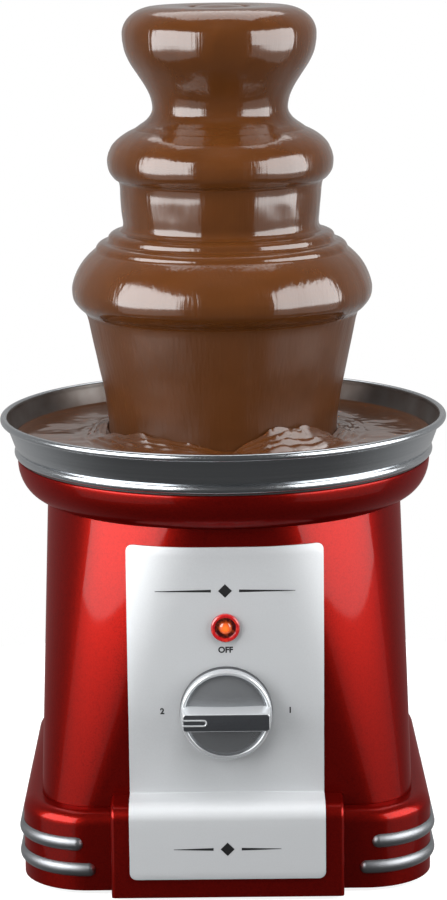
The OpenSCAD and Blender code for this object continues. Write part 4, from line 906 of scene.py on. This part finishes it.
# Chocolate over the crown.
# It wells up through the stem, rounds over the crown's rim and runs down its flared side to the middle
# tier.
mouth = (13.0, 375.4)
crown = ([mouth, (14.2, 375.9), (20.0, 376.2)] + arc((27.9, 364.2), (14.8, 12.0), 90, 0, 14)
         + smooth_line([(42.6, 361.6), (41.6, 356.6), (39.4, 351.6), (36.2, 346.6), (33.0, 341.6),
                        (30.8, 337.0), (29.9, 333.0), (30.1, 330.4), (31.4, 328.0), (33.4, 326.0),
                        (36.2, 324.1), (39.4, 321.6), (41.0, 319.0)], 5))
crown_inside = [(30.0, 323.6), (27.5, 330.0), (27.5, 334.2), (29.5, 341.0), (34.0, 349.0), (39.0, 357.0),
                (40.2, 364.2), (36.0, 366.0), (20.0, 366.2), (13.0, 366.2), mouth]
flowing(crown + crown_inside, "chocolate_over_crown", ["chocolate_crown"], 0.06)

# Chocolate that wells up over the auger.
# A low dome in the mouth of the stem, which turns with the auger.
well_r = 12.4
well_foot = 370.0
well = arc((0.0, 374.6), (well_r, 2.1), 0, 90, 12)
bm = turned([(0.0, well_foot), (well_r, well_foot)] + well, 96)
finished_piece(bm, "chocolate_well_dome", chocolate, "auger", ["chocolate_well"], 80)

# Studio: a lit table in a white room, a softbox and a weak low card on either side, a box behind and above,
# and a fill from the front. The room is pale at the back and dim behind the camera, as a studio is.
table_r = 0.34
table_glow = 0.85
bm = bmesh.new()
bmesh.ops.create_circle(bm, cap_ends=True, segments=96, radius=table_r)
mesh = bpy.data.meshes.new("light_table")
bm.to_mesh(mesh)
bm.free()
# Frosted acrylic: a dull grey under the lamps, lit from below so that the camera sees it white
acrylic, shader = new_finish("matt_white_acrylic", "909090", ior=1.49)
shader.inputs["Emission Color"].default_value = linear("ffffff")
add_grain(acrylic, shader, 4.0, 0.02, ("8e8e8e", "929292"), (0.8, 0.9))
looked_at = add_node(acrylic, "ShaderNodeLightPath", {}, {})
lit = add_node(acrylic, "ShaderNodeMath", {"operation": "MULTIPLY", 1: table_glow},
               {0: looked_at.outputs["Is Camera Ray"]})
acrylic.node_tree.links.new(lit.outputs[0], shader.inputs["Emission Strength"])
mesh.materials.append(acrylic)
table = bpy.data.objects.new("light_table", mesh)
bpy.context.scene.collection.objects.link(table)
table.visible_glossy = False


def softbox(name, place, aim, size, watts):
    """A rectangular area light that faces a point."""
    lamp = bpy.data.lights.new(name, "AREA")
    lamp.shape = "RECTANGLE"
    lamp.size, lamp.size_y = size
    lamp.energy = watts
    stand = bpy.data.objects.new(name, lamp)
    stand.location = place
    stand.rotation_euler = (Vector(aim) - Vector(place)).to_track_quat("-Z", "Y").to_euler()
    bpy.context.scene.collection.objects.link(stand)
    return stand


softbox("softbox_left", (-0.55, -0.37, 0.42), (0, 0, 0.42), (0.75, 0.6), 12)
softbox("softbox_right", (0.61, -0.25, 0.42), (0, 0, 0.42), (0.75, 0.6), 9.5)
softbox("low_card_left", (-0.55, -0.37, -0.03), (0, 0, -0.03), (0.75, 0.3), 0.55)
softbox("low_card_right", (0.61, -0.25, -0.03), (0, 0, -0.03), (0.75, 0.3), 0.45)
softbox("softbox_top", (0.0, 0.7, 1.75), (0, 0, 0.1), (1.4, 1.4), 14)
fill = softbox("front_fill", (0.0, -0.55, 1.6), (0, 0, 0.2), (1.0, 1.0), 37)
fill.visible_glossy = False

room = bpy.data.worlds.new("white_room")
room.use_nodes = True
backdrop = room.node_tree.nodes["Background"]
way = add_node(room, "ShaderNodeTexCoord", {}, {})
parts = add_node(room, "ShaderNodeSeparateXYZ", {}, {0: way.outputs["Generated"]})
depth = add_node(room, "ShaderNodeMapRange",
                 {"interpolation_type": "SMOOTHSTEP", "From Min": -0.3, "From Max": 0.9,
                  "To Min": 0.08, "To Max": 0.42}, {"Value": parts.outputs["Y"]})
seen = add_node(room, "ShaderNodeLightPath", {}, {})
shown = add_node(room, "ShaderNodeMix", {"data_type": "RGBA", 7: linear("ffffff")},
                 {0: seen.outputs["Is Camera Ray"], 6: depth.outputs["Result"]})
room.node_tree.links.new(shown.outputs[2], backdrop.inputs["Color"])
bpy.context.scene.world = room
bpy.context.scene.view_settings.view_transform = "Standard"

camera_aim = Vector((0.0, 0.0, 0.178))
camera_distance = 1.28
camera_pitch = math.radians(11.5)
camera_roll = math.radians(0.6)
picture_h = 900
focal_px = 2840
lens = bpy.data.cameras.new("photo_camera")
lens.sensor_width = 36.0
lens.lens = focal_px / picture_h * lens.sensor_width
view = bpy.data.objects.new("photo_camera", lens)
back = Vector((0, -math.cos(camera_pitch), math.sin(camera_pitch)))
view.location = camera_aim + back * camera_distance
turn = (-back).to_track_quat("-Z", "Y").to_matrix() @ Matrix.Rotation(-camera_roll, 3, "Z")
view.rotation_euler = turn.to_euler()
bpy.context.scene.collection.objects.link(view)
bpy.context.scene.camera = view
